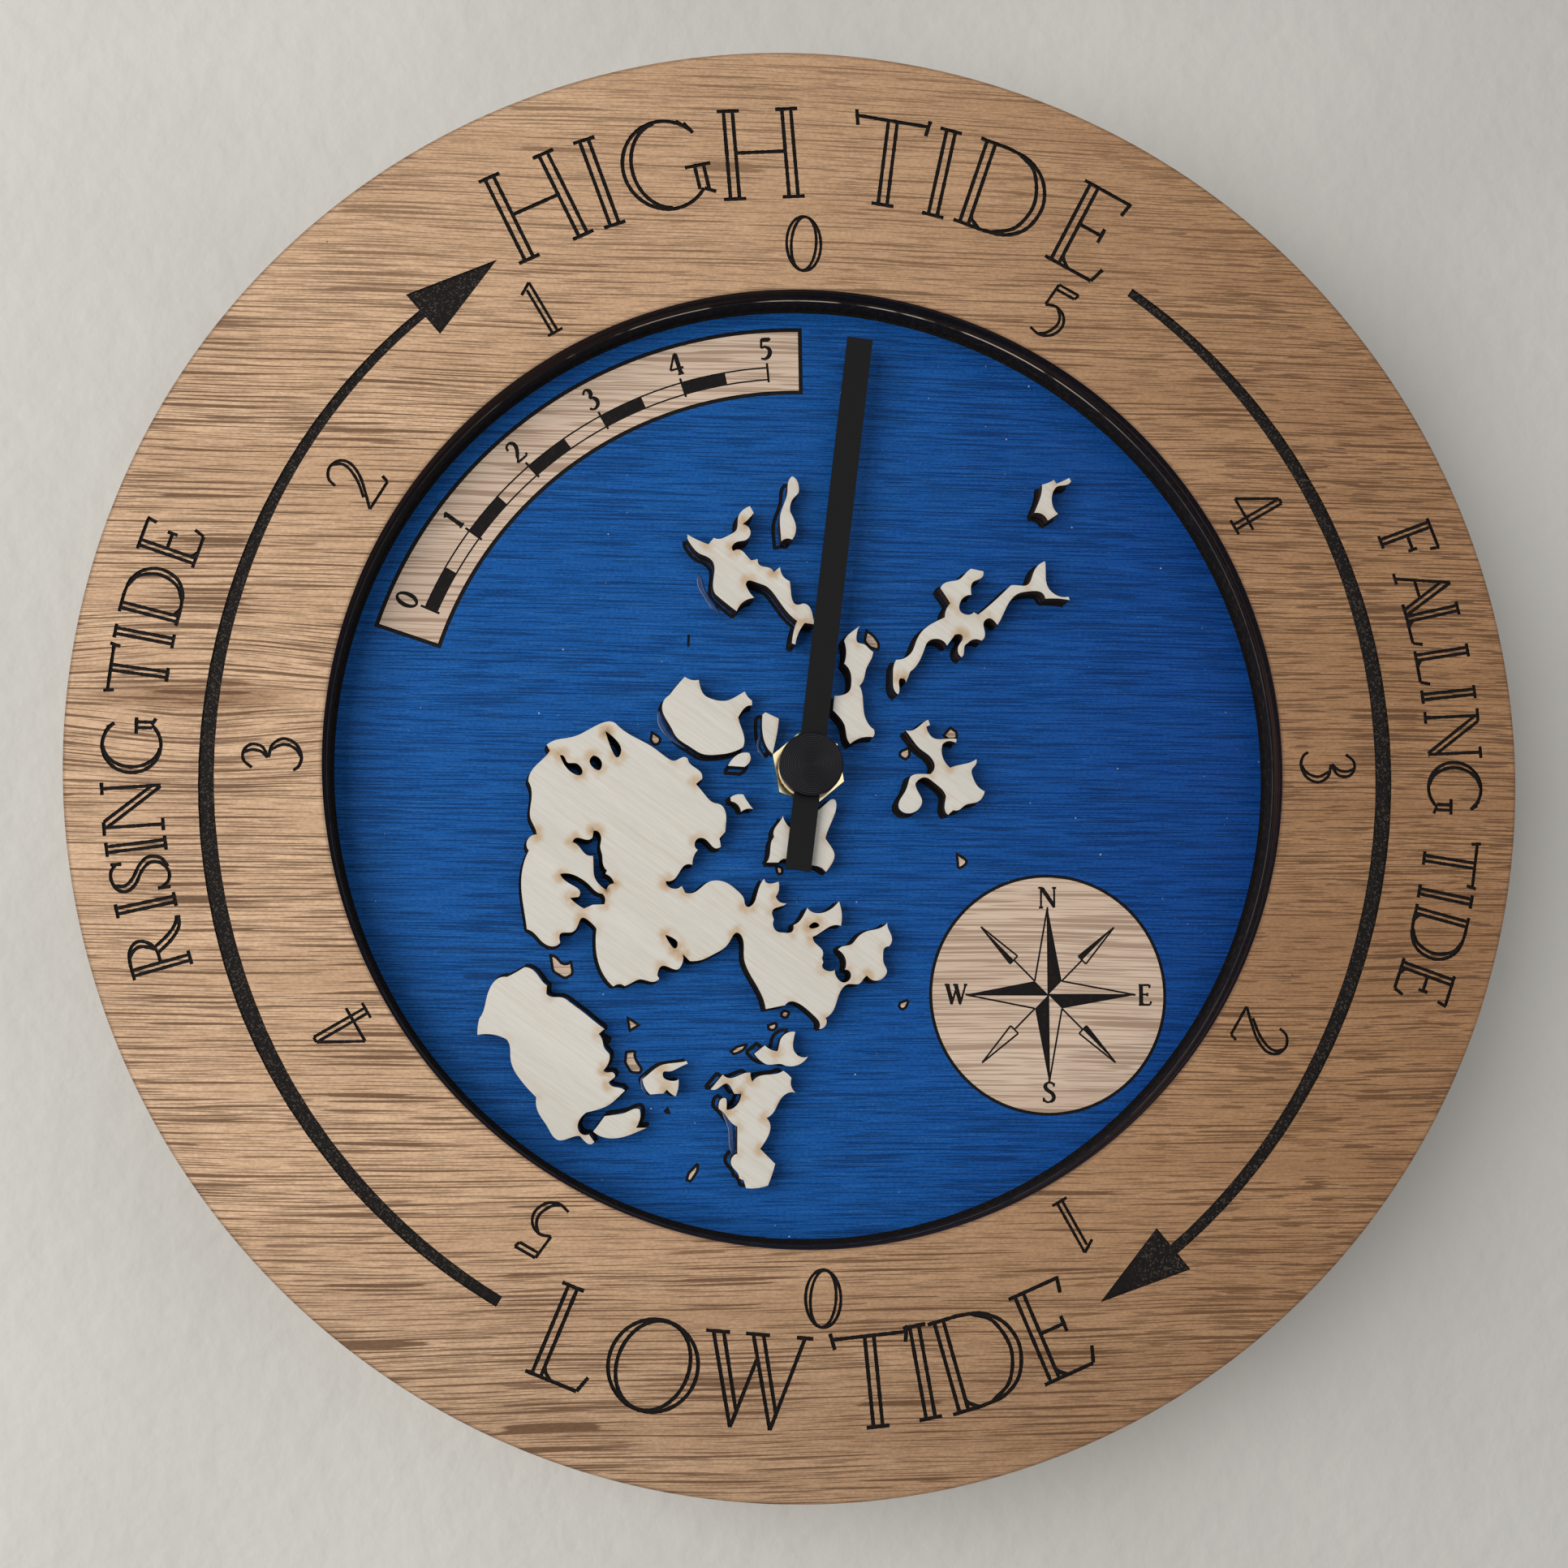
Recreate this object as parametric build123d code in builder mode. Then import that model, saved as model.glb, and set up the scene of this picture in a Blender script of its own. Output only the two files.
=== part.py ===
import math
import os

from build123d import *

# Wall-hung tide clock, in millimetres. X is to the right as seen from the front, Z up, the wall is at Y = 0
# and the dial faces -Y. The origin is the centre of the hanger's hole at the wall.

# Ring, spacer, board and map
outer_diameter = 300.0
opening_share = 0.662  # the opening's share of the outer diameter
ring_thickness = 5.0
spacer_thickness = 4.0
spacer_step = 0.15  # the spacer's bore stands in by this, a ledge halfway down the recess
board_thickness = 4.0
painted_lap = 0.75  # the painted map runs this far under the ring
island_thickness = 4.0

# Hand, cap and nut
tip_gap = 7.8  # from the hand's tip to the opening's edge
tail_reach = 22.0
hand_width = 5.4
hand_thickness = 0.6
hand_lift = 1.0  # between the map's tops and the hand
hand_turn = -6.8  # degrees at rest, clockwise from the top
hand_hub_diameter = 11.0
bush_diameter = 8.5
bush_height = 1.0
cap_diameter = 13.2
cap_thickness = 2.4
cap_chamfer = 0.3
spigot_length = 3.0
nut_across_flats = 13.8
nut_height = 2.4
nut_turn = 40.0  # degrees
collar_diameter = 12.6
collar_height = 0.8
nut_chamfer = 0.25
nut_gap = 0.1  # between the nut and the map's pieces, which are trimmed to it where they come nearer
bushing_diameter = 8.0
bushing_stand = 0.5  # the bushing's end above the nut
flange_diameter = 11.0
flange_thickness = 0.8
washer_diameter = 22.0
washer_thickness = 1.5

# Movement case
side_gap = 2.26  # between the first wheel and the case's side
tide_gap = 4.66  # between the tide wheel and the wall beside the battery
case_corner = 4.0
case_wall = 1.4
case_edge = 0.8  # rounding of the front edge
cover_thickness = 1.6
partition_thickness = 1.2
post_diameter = 4.0
post_inset = 3.6  # from the inner walls to a post's centre
screw_diameter = 1.8
screw_head_diameter = 3.4
screw_head_height = 0.9
screw_depth = 4.0

# Hanger and its seat in the cover
hook_height = 30.0  # the hole's centre above the hand's axis
hanger_hole_diameter = 5.0
hanger_width = 16.0
hanger_seat = 9.0  # length held in the cover
hanger_thickness = 0.8
stake_diameter = 2.0
stake_spacing = 9.0
stake_drop = 5.5  # below the case's top edge

# Setting knob
knob_diameter = 12.0
knob_thickness = 3.0
knob_recess = 0.6
knob_gap = 1.35  # between the knob and the bridge
knob_window_gap = 1.0
flute_count = 16
flute_diameter = 1.2

# Wheels, pinions and arbors
fine_module = 0.4
tide_teeth = 48
motion_pinion_teeth = 12
motion_teeth = 36
centre_pinion_teeth = 12
centre_teeth = 48
second_pinion_teeth = 8
second_teeth = 40
first_pinion_teeth = 8
first_teeth = 32
rotor_teeth = 8
root_depth_share = 1.25  # shares of the module
tip_height_share = 0.85
root_half_share = 0.26  # shares of the angle from tooth to tooth
tip_half_share = 0.10
wheel_thickness = 1.0
level_gap = 0.8
pinion_overlap = 0.3
pipe_diameter = 5.0
tide_shoulder_diameter = 7.2
tide_shoulder = 0.35
centre_arbor_diameter = 2.4
centre_hub_diameter = 4.4
pilot_length = 3.0
arbor_diameter = 1.6
pivot_diameter = 1.0
pivot_length = 0.9
bridge_thickness = 1.2
bridge_margin = 0.6
magnet_diameter = 5.6
magnet_height = 3.0
magnet_gap = 0.3
motion_bearing = 20.0  # directions of the centre lines, in degrees
second_bearing = 140.0
first_bearing = 200.0
rotor_bearing = 95.0

# Motor and electronics
coil_length = 22.0
coil_flange = 5.6
coil_flange_thickness = 1.0
coil_winding_diameter = 4.8
coil_gap = 0.5  # above the second wheel
coil_top_gap = 0.96
coil_post_gap = 1.0
stator_thickness = 0.8
stator_radius = 5.4
stator_bar = 4.0
circuit_width = 11.0
circuit_thickness = 1.0
circuit_gap = 0.6
chip_diameter = 4.5
chip_height = 0.8
quartz_diameter = 2.0
quartz_length = 6.0
quartz_inset = 1.5

# Battery and contacts
battery_diameter = 14.2
battery_nub_diameter = 5.4
battery_nub = 1.2
battery_gap = 0.3
battery_seat_gap = 0.1
contact_thickness = 0.5
contact_side_gap = 2.4  # a contact is narrower than the battery by this on each side
contact_rear_gap = 0.3
contact_front_gap = 1.7
leaf_thickness = 0.3
leaf_width = 7.0
leaf_room = 2.0  # between the battery's flat end and the contact's plate
window_margin = 0.4

# Clearances
running_clearance = 0.05
fit_clearance = 0.05
axial_play = 0.1


def at_bearing(start, distance, bearing):
    """The place at this distance and direction, in degrees, from another place on the dial's plane."""
    angle = math.radians(bearing)
    return (start[0] + distance * math.cos(angle), start[1] + distance * math.sin(angle))


def tip_radius(module, teeth):
    """The radius to the tips of a toothed wheel."""
    return module * (teeth / 2 + tip_height_share)


opening_diameter = opening_share * outer_diameter
hand_reach = opening_diameter / 2 - tip_gap

# Where the train's arbors stand. Both pairs of the motion work share one distance between arbors.
coarse_module = fine_module * (tide_teeth + motion_pinion_teeth) / (motion_teeth + centre_pinion_teeth)
motion_place = at_bearing((0, 0), fine_module * (tide_teeth + motion_pinion_teeth) / 2, motion_bearing)
second_place = at_bearing((0, 0), fine_module * (centre_teeth + second_pinion_teeth) / 2, second_bearing)
first_place = at_bearing(second_place, fine_module * (second_teeth + first_pinion_teeth) / 2, first_bearing)
rotor_place = at_bearing(first_place, fine_module * (first_teeth + rotor_teeth) / 2, rotor_bearing)
train_places = [motion_place, second_place, first_place, rotor_place]

# Distances from the wall
bridge_back = knob_recess + knob_thickness + knob_gap
bridge_front = bridge_back + bridge_thickness
second_back = bridge_front + level_gap
second_front = second_back + wheel_thickness
centre_back = second_front + level_gap
centre_front = centre_back + wheel_thickness
motion_back = centre_front + level_gap
motion_front = motion_back + wheel_thickness
tide_back = motion_front + level_gap
tide_front = tide_back + wheel_thickness
flange_back = tide_front + tide_shoulder + axial_play
case_inner = flange_back + flange_thickness
case_front = case_inner + case_wall
board_back = case_front + washer_thickness
board_front = board_back + board_thickness
spacer_front = board_front + spacer_thickness
island_top = board_front + island_thickness
hand_back = island_top + hand_lift
hand_front = hand_back + hand_thickness
nut_front = board_front + nut_height + collar_height
bushing_end = nut_front + bushing_stand
stator_back = bridge_front + coil_flange
arbor_front = case_inner - axial_play
arbor_back = bridge_front + axial_play

# Heights and widths measured from the hand's axis. The case closes round the train, the coil and the battery.
axis_height = -hook_height
inner_half_width = tip_radius(fine_module, first_teeth) - first_place[0] + side_gap
case_width = 2 * (inner_half_width + case_wall)
coil_bottom = second_place[1] + tip_radius(fine_module, second_teeth) + coil_gap
coil_height = coil_bottom + coil_flange / 2
inner_top = coil_bottom + coil_flange + coil_top_gap
case_above_axis = inner_top + case_wall
hanger_rise = hook_height - case_above_axis
partition_top = -(tip_radius(fine_module, tide_teeth) + tide_gap)
partition_bottom = partition_top - partition_thickness
battery_height = partition_bottom - battery_gap - battery_diameter / 2
battery_stand = case_inner - battery_seat_gap - battery_diameter / 2
battery_length = 2 * (inner_half_width - contact_thickness) - battery_nub - leaf_room
inner_bottom = battery_height - battery_diameter / 2 - battery_gap
contact_width = battery_diameter - 2 * contact_side_gap
contact_rear = cover_thickness + contact_rear_gap
contact_height = case_inner - contact_front_gap - contact_rear
contact_stand = contact_rear + contact_height / 2
case_below_axis = case_wall - inner_bottom
case_middle = (case_above_axis - case_below_axis) / 2
post_places = [
    (side * (inner_half_width - post_inset), height)
    for side in (-1, 1)
    for height in (partition_top + post_inset, inner_top - post_inset)
]
coil_end = inner_half_width - post_inset - post_diameter / 2 - coil_post_gap

# The map's coasts, as shares of the painted radius, to the right and up. A coast is a ring of runs. A run
# starts at a corner and goes on, straight or curved, to the first point of the next run.
main_coast_shares = [
    [(-0.545, 0.039), (-0.530, 0.048), (-0.492, 0.056), (-0.440, 0.082), (-0.406, 0.087)],
    [(-0.402, 0.084), (-0.373, 0.062), (-0.325, 0.036), (-0.297, 0.015), (-0.281, 0.009), (-0.263, 0.017)],
    [(-0.254, 0.014), (-0.248, 0.002), (-0.229, -0.012)],
    [(-0.224, -0.028)],
    [(-0.237, -0.039), (-0.216, -0.064), (-0.199, -0.078), (-0.185, -0.082), (-0.176, -0.095), (-0.174, -0.114)],
    [(-0.176, -0.138)],
    [(-0.188, -0.152)],
    [(-0.185, -0.169), (-0.197, -0.172), (-0.218, -0.153), (-0.232, -0.152), (-0.239, -0.161)],
    [(-0.233, -0.176), (-0.242, -0.192)],
    [(-0.244, -0.207), (-0.261, -0.209), (-0.270, -0.221)],
    [(-0.299, -0.241), (-0.294, -0.252), (-0.282, -0.257)],
    [(-0.266, -0.251)],
    [(-0.259, -0.265), (-0.239, -0.264), (-0.211, -0.243), (-0.178, -0.242), (-0.151, -0.260), (-0.138, -0.275)],
    [(-0.136, -0.285), (-0.128, -0.294), (-0.118, -0.288), (-0.111, -0.272), (-0.105, -0.252)],
    [(-0.095, -0.235), (-0.089, -0.244), (-0.081, -0.245)],
    [(-0.065, -0.241), (-0.066, -0.263)],
    [(-0.071, -0.272), (-0.063, -0.283)],
    [(-0.049, -0.286), (-0.060, -0.292), (-0.074, -0.297)],
    [(-0.079, -0.308)],
    [(-0.075, -0.320), (-0.076, -0.334), (-0.069, -0.344), (-0.055, -0.347), (-0.039, -0.346)],
    [(-0.034, -0.331), (-0.019, -0.320), (-0.012, -0.309)],
    [(-0.005, -0.295), (0.008, -0.305), (0.022, -0.306), (0.040, -0.300)],
    [(0.061, -0.281), (0.067, -0.315)],
    [(0.065, -0.332), (0.049, -0.331), (0.031, -0.340)],
    [(0.006, -0.355), (0.012, -0.369), (0.023, -0.379)],
    [(0.025, -0.399)],
    [(0.028, -0.408), (0.027, -0.420), (0.034, -0.425)],
    [(0.052, -0.424), (0.055, -0.438), (0.071, -0.450), (0.084, -0.442), (0.085, -0.430)],
    [(0.073, -0.423), (0.075, -0.403), (0.068, -0.389)],
    [(0.059, -0.382), (0.068, -0.375), (0.086, -0.371), (0.099, -0.357), (0.120, -0.343), (0.139, -0.339)],
    [(0.162, -0.325), (0.164, -0.337), (0.169, -0.348)],
    [(0.166, -0.374), (0.155, -0.380), (0.153, -0.392), (0.155, -0.411), (0.161, -0.426), (0.156, -0.437)],
    [(0.119, -0.435), (0.111, -0.443), (0.103, -0.452), (0.080, -0.453), (0.064, -0.467), (0.055, -0.491)],
    [(0.032, -0.523), (0.034, -0.534), (0.028, -0.543)],
    [(0.019, -0.546), (0.019, -0.531), (0.012, -0.522), (-0.003, -0.508), (-0.022, -0.494), (-0.040, -0.489)],
    [(-0.052, -0.497), (-0.068, -0.500)],
    [(-0.092, -0.505), (-0.099, -0.479), (-0.125, -0.432), (-0.137, -0.399), (-0.138, -0.365)],
    [(-0.143, -0.352), (-0.152, -0.347), (-0.169, -0.369), (-0.200, -0.392), (-0.220, -0.402)],
    [(-0.249, -0.406)],
    [(-0.264, -0.391), (-0.266, -0.414), (-0.273, -0.423), (-0.297, -0.417)],
    [(-0.316, -0.436)],
    [(-0.312, -0.443), (-0.328, -0.449), (-0.352, -0.444), (-0.368, -0.451)],
    [(-0.383, -0.458), (-0.392, -0.454)],
    [(-0.406, -0.459), (-0.423, -0.440), (-0.437, -0.409), (-0.442, -0.381)],
    [(-0.441, -0.340), (-0.454, -0.326), (-0.471, -0.318), (-0.479, -0.333), (-0.490, -0.347), (-0.511, -0.349)],
    [(-0.515, -0.369), (-0.530, -0.377), (-0.549, -0.370), (-0.566, -0.352)],
    [(-0.583, -0.342), (-0.592, -0.285), (-0.595, -0.257), (-0.592, -0.214)],
    [(-0.580, -0.180), (-0.584, -0.161), (-0.578, -0.152)],
    [(-0.564, -0.147), (-0.568, -0.133), (-0.577, -0.114), (-0.576, -0.080)],
    [(-0.582, -0.037), (-0.576, -0.016), (-0.549, 0.013)],
    [(-0.538, 0.027)],
]
north_lake_shares = [[(-0.424, 0.069), (-0.402, 0.051), (-0.392, 0.025), (-0.398, 0.015), (-0.412, 0.032)]]
west_lake_shares = [
    [(-0.518, 0.018), (-0.509, 0.015), (-0.502, 0.003), (-0.487, 0.002), (-0.473, -0.009)],
    [(-0.471, -0.018), (-0.476, -0.023), (-0.490, -0.020), (-0.512, 0.004)],
]
drop_lake_shares = [[(-0.449, 0.018), (-0.437, 0.013), (-0.431, 0.001), (-0.436, -0.012), (-0.447, -0.009)]]
fjord_lake_shares = [
    [(-0.448, -0.138), (-0.437, -0.141), (-0.432, -0.154), (-0.434, -0.171), (-0.430, -0.188), (-0.429, -0.202)],
    [(-0.420, -0.220)],
    [(-0.423, -0.227), (-0.411, -0.235)],
    [(-0.405, -0.247), (-0.416, -0.251)],
    [(-0.421, -0.261), (-0.435, -0.250), (-0.444, -0.238), (-0.448, -0.214)],
    [(-0.449, -0.190), (-0.466, -0.185), (-0.476, -0.173)],
    [(-0.491, -0.162), (-0.483, -0.153), (-0.466, -0.156)],
    [(-0.450, -0.152)],
]
south_lake_shares = [
    [(-0.516, -0.228), (-0.497, -0.227), (-0.473, -0.237), (-0.456, -0.250), (-0.440, -0.265)],
    [(-0.429, -0.268), (-0.424, -0.276)],
    [(-0.425, -0.290)],
    [(-0.449, -0.291)],
    [(-0.467, -0.299), (-0.483, -0.289)],
    [(-0.496, -0.277)],
    [(-0.478, -0.275), (-0.476, -0.262), (-0.487, -0.253), (-0.504, -0.243)],
]
slit_lake_shares = [[(-0.299, -0.352), (-0.287, -0.357), (-0.274, -0.371), (-0.278, -0.380), (-0.290, -0.371)]]
pond_shares = [[(-0.002, -0.334), (0.003, -0.328), (0.012, -0.325), (0.020, -0.331), (0.012, -0.337)]]
west_coast_shares = [
    [(-0.588, -0.420), (-0.573, -0.424), (-0.559, -0.438), (-0.552, -0.448)],
    [(-0.542, -0.457)],
    [(-0.543, -0.474), (-0.534, -0.480), (-0.510, -0.482), (-0.494, -0.492), (-0.471, -0.509), (-0.449, -0.527)],
    [(-0.424, -0.546)],
    [(-0.436, -0.556), (-0.428, -0.571), (-0.423, -0.587), (-0.414, -0.598), (-0.414, -0.610)],
    [(-0.426, -0.630), (-0.416, -0.635), (-0.407, -0.635), (-0.402, -0.642), (-0.407, -0.648)],
    [(-0.415, -0.655), (-0.408, -0.663), (-0.394, -0.666)],
    [(-0.382, -0.672), (-0.394, -0.684), (-0.418, -0.703), (-0.439, -0.711)],
    [(-0.460, -0.716), (-0.474, -0.731), (-0.478, -0.744), (-0.474, -0.756)],
    [(-0.455, -0.761)],
    [(-0.444, -0.776), (-0.452, -0.781), (-0.462, -0.776)],
    [(-0.473, -0.764), (-0.497, -0.769), (-0.517, -0.772), (-0.527, -0.765), (-0.539, -0.745), (-0.555, -0.721)],
    [(-0.562, -0.685), (-0.575, -0.672), (-0.596, -0.647), (-0.610, -0.624), (-0.615, -0.603), (-0.616, -0.582)],
    [(-0.623, -0.567), (-0.639, -0.560)],
    [(-0.682, -0.558), (-0.681, -0.538)],
    [(-0.678, -0.524), (-0.670, -0.509), (-0.665, -0.487), (-0.657, -0.462), (-0.644, -0.445)],
    [(-0.623, -0.440), (-0.604, -0.430)],
]
shore_coast_shares = [
    [(-0.446, -0.755), (-0.436, -0.742)],
    [(-0.423, -0.724), (-0.400, -0.721), (-0.378, -0.716), (-0.361, -0.709)],
    [(-0.352, -0.710), (-0.350, -0.719), (-0.353, -0.736)],
    [(-0.359, -0.748)],
    [(-0.337, -0.748), (-0.361, -0.758), (-0.380, -0.765), (-0.402, -0.769), (-0.420, -0.768)],
]
hook_coast_shares = [
    [(-0.346, -0.649), (-0.327, -0.633), (-0.309, -0.621), (-0.283, -0.616)],
    [(-0.256, -0.612)],
    [(-0.253, -0.617), (-0.273, -0.626), (-0.293, -0.633), (-0.303, -0.634), (-0.304, -0.643), (-0.294, -0.651)],
    [(-0.272, -0.649), (-0.273, -0.668)],
    [(-0.278, -0.684), (-0.288, -0.678)],
    [(-0.296, -0.670)],
    [(-0.303, -0.678)],
    [(-0.330, -0.680), (-0.340, -0.668)],
]
winged_coast_shares = [
    [(-0.116, -0.597)],
    [(-0.094, -0.580), (-0.078, -0.590)],
    [(-0.068, -0.592), (-0.065, -0.582), (-0.060, -0.565), (-0.047, -0.554)],
    [(-0.031, -0.552), (-0.035, -0.571), (-0.034, -0.590), (-0.025, -0.601)],
    [(-0.005, -0.603), (-0.016, -0.615), (-0.028, -0.621)],
    [(-0.053, -0.621), (-0.062, -0.618), (-0.089, -0.619), (-0.102, -0.612)],
]
southern_coast_shares = [
    [(-0.181, -0.640), (-0.165, -0.647), (-0.144, -0.640)],
    [(-0.124, -0.636), (-0.123, -0.647)],
    [(-0.120, -0.655), (-0.110, -0.645), (-0.086, -0.640)],
    [(-0.056, -0.632), (-0.049, -0.637)],
    [(-0.039, -0.647), (-0.040, -0.662)],
    [(-0.031, -0.677), (-0.047, -0.678), (-0.062, -0.691), (-0.073, -0.712)],
    [(-0.091, -0.729), (-0.083, -0.744), (-0.088, -0.767)],
    [(-0.104, -0.792)],
    [(-0.073, -0.823), (-0.080, -0.846)],
    [(-0.088, -0.867), (-0.109, -0.872)],
    [(-0.133, -0.872)],
    [(-0.138, -0.856)],
    [(-0.147, -0.852), (-0.152, -0.839), (-0.164, -0.822), (-0.162, -0.810)],
    [(-0.151, -0.802)],
    [(-0.151, -0.746), (-0.160, -0.741), (-0.173, -0.726)],
    [(-0.189, -0.710), (-0.189, -0.699), (-0.183, -0.689), (-0.176, -0.688), (-0.173, -0.697)],
    [(-0.173, -0.712), (-0.157, -0.707), (-0.146, -0.693)],
    [(-0.143, -0.679)],
    [(-0.157, -0.679), (-0.165, -0.665), (-0.173, -0.658), (-0.183, -0.662), (-0.193, -0.669)],
    [(-0.206, -0.670)],
]
round_coast_shares = [
    [(-0.260, 0.185), (-0.248, 0.179)],
    [(-0.231, 0.179), (-0.228, 0.164), (-0.220, 0.148), (-0.203, 0.139), (-0.170, 0.137), (-0.155, 0.144)],
    [(-0.135, 0.156), (-0.131, 0.148)],
    [(-0.120, 0.137)],
    [(-0.120, 0.127), (-0.131, 0.125), (-0.141, 0.115)],
    [(-0.149, 0.102), (-0.139, 0.070), (-0.136, 0.055)],
    [(-0.139, 0.039), (-0.163, 0.028), (-0.192, 0.023), (-0.226, 0.025), (-0.248, 0.038), (-0.270, 0.052)],
    [(-0.285, 0.072), (-0.299, 0.096), (-0.307, 0.118), (-0.305, 0.131)],
    [(-0.292, 0.146), (-0.275, 0.168)],
]
narrow_coast_shares = [
    [(-0.092, 0.113)],
    [(-0.064, 0.100), (-0.067, 0.074), (-0.073, 0.044)],
    [(-0.077, 0.026), (-0.087, 0.037), (-0.096, 0.059), (-0.099, 0.085)],
    [(-0.098, 0.108)],
]
leaf_coast_shares = [
    [(-0.170, 0.000), (-0.159, 0.016), (-0.144, 0.026)],
    [(-0.126, 0.027), (-0.123, 0.017)],
    [(-0.136, -0.002)],
]
bean_coast_shares = [
    [(-0.165, -0.066), (-0.152, -0.060)],
    [(-0.138, -0.060), (-0.130, -0.074)],
    [(-0.118, -0.090), (-0.128, -0.089)],
    [(-0.143, -0.096), (-0.150, -0.081)],
    [(-0.164, -0.074)],
]
tail_coast_shares = [
    [(-0.056, -0.103), (-0.050, -0.118)],
    [(-0.038, -0.131)],
    [(0.020, -0.090)],
    [(0.044, -0.069), (0.053, -0.069), (0.056, -0.085), (0.051, -0.103), (0.040, -0.129)],
    [(0.033, -0.150), (0.044, -0.166), (0.052, -0.185), (0.046, -0.203)],
    [(0.034, -0.220), (0.024, -0.211)],
    [(0.009, -0.207)],
    [(-0.045, -0.194), (-0.054, -0.193)],
    [(-0.065, -0.201)],
    [(-0.090, -0.201), (-0.083, -0.185), (-0.080, -0.159)],
    [(-0.074, -0.148), (-0.072, -0.129), (-0.061, -0.114)],
]
slender_coast_shares = [
    [(-0.035, 0.614), (-0.026, 0.607), (-0.021, 0.592), (-0.022, 0.579), (-0.031, 0.569), (-0.039, 0.552)],
    [(-0.039, 0.538), (-0.031, 0.521), (-0.027, 0.504), (-0.029, 0.491)],
    [(-0.035, 0.479), (-0.047, 0.481)],
    [(-0.058, 0.475), (-0.060, 0.501), (-0.060, 0.530), (-0.052, 0.555), (-0.045, 0.579), (-0.043, 0.602)],
]
northwest_coast_shares = [
    [(-0.255, 0.485), (-0.234, 0.474)],
    [(-0.211, 0.465)],
    [(-0.200, 0.479), (-0.189, 0.477), (-0.167, 0.486), (-0.153, 0.496), (-0.148, 0.526), (-0.138, 0.540)],
    [(-0.124, 0.548)],
    [(-0.116, 0.534), (-0.128, 0.520)],
    [(-0.140, 0.509), (-0.124, 0.498), (-0.123, 0.489), (-0.133, 0.476), (-0.153, 0.471), (-0.162, 0.460)],
    [(-0.159, 0.452), (-0.141, 0.453), (-0.131, 0.443)],
    [(-0.121, 0.433)],
    [(-0.108, 0.436), (-0.101, 0.422), (-0.087, 0.419)],
    [(-0.074, 0.409)],
    [(-0.061, 0.420), (-0.051, 0.397)],
    [(-0.041, 0.391), (-0.038, 0.366), (-0.030, 0.343)],
    [(-0.013, 0.344), (-0.001, 0.339), (0.008, 0.318)],
    [(0.012, 0.300)],
    [(-0.009, 0.303), (-0.019, 0.288)],
    [(-0.029, 0.257)],
    [(-0.036, 0.259), (-0.033, 0.281)],
    [(-0.025, 0.307), (-0.047, 0.327), (-0.067, 0.354), (-0.090, 0.379), (-0.112, 0.387), (-0.128, 0.390)],
    [(-0.133, 0.382), (-0.126, 0.367)],
    [(-0.115, 0.354), (-0.138, 0.345)],
    [(-0.152, 0.325), (-0.172, 0.340)],
    [(-0.195, 0.359), (-0.199, 0.403), (-0.201, 0.427), (-0.212, 0.438), (-0.229, 0.445), (-0.245, 0.460)],
    [(-0.255, 0.476)],
]
northeast_coast_shares = [
    [(0.499, 0.609), (0.514, 0.614)],
    [(0.525, 0.620)],
    [(0.530, 0.612), (0.540, 0.616)],
    [(0.558, 0.625)],
    [(0.562, 0.618), (0.552, 0.610), (0.532, 0.606), (0.522, 0.592), (0.520, 0.572), (0.524, 0.558)],
    [(0.533, 0.547), (0.520, 0.538)],
    [(0.511, 0.532), (0.498, 0.546)],
    [(0.482, 0.548), (0.492, 0.572), (0.498, 0.592)],
]
ridge_coast_shares = [
    [(0.184, 0.228), (0.200, 0.231), (0.218, 0.246), (0.226, 0.266), (0.240, 0.290), (0.264, 0.308)],
    [(0.288, 0.320), (0.291, 0.336)],
    [(0.300, 0.350), (0.290, 0.366)],
    [(0.279, 0.382), (0.290, 0.394), (0.320, 0.402), (0.334, 0.416)],
    [(0.345, 0.425)],
    [(0.371, 0.420), (0.364, 0.404), (0.348, 0.396), (0.344, 0.380)],
    [(0.345, 0.369), (0.332, 0.366), (0.321, 0.353), (0.320, 0.336), (0.332, 0.327)],
    [(0.350, 0.332)],
    [(0.359, 0.327), (0.380, 0.344), (0.400, 0.362)],
    [(0.430, 0.391), (0.450, 0.391), (0.466, 0.393), (0.474, 0.405), (0.480, 0.422), (0.490, 0.436)],
    [(0.504, 0.444), (0.505, 0.412), (0.510, 0.388), (0.524, 0.374)],
    [(0.554, 0.369)],
    [(0.556, 0.362), (0.528, 0.365)],
    [(0.504, 0.364), (0.496, 0.377), (0.468, 0.379), (0.444, 0.373), (0.428, 0.358), (0.416, 0.336)],
    [(0.400, 0.306), (0.394, 0.314), (0.382, 0.320), (0.371, 0.311), (0.372, 0.296), (0.373, 0.282)],
    [(0.366, 0.272), (0.348, 0.274)],
    [(0.336, 0.266), (0.329, 0.257), (0.328, 0.244)],
    [(0.323, 0.236), (0.316, 0.245), (0.318, 0.262), (0.325, 0.273), (0.325, 0.281), (0.317, 0.285)],
    [(0.306, 0.279)],
    [(0.292, 0.260), (0.280, 0.272), (0.266, 0.274), (0.252, 0.268), (0.244, 0.252), (0.234, 0.228)],
    [(0.214, 0.204)],
    [(0.204, 0.180), (0.200, 0.188), (0.193, 0.189), (0.190, 0.172)],
    [(0.187, 0.155), (0.180, 0.163), (0.177, 0.188), (0.179, 0.216)],
]
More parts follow.
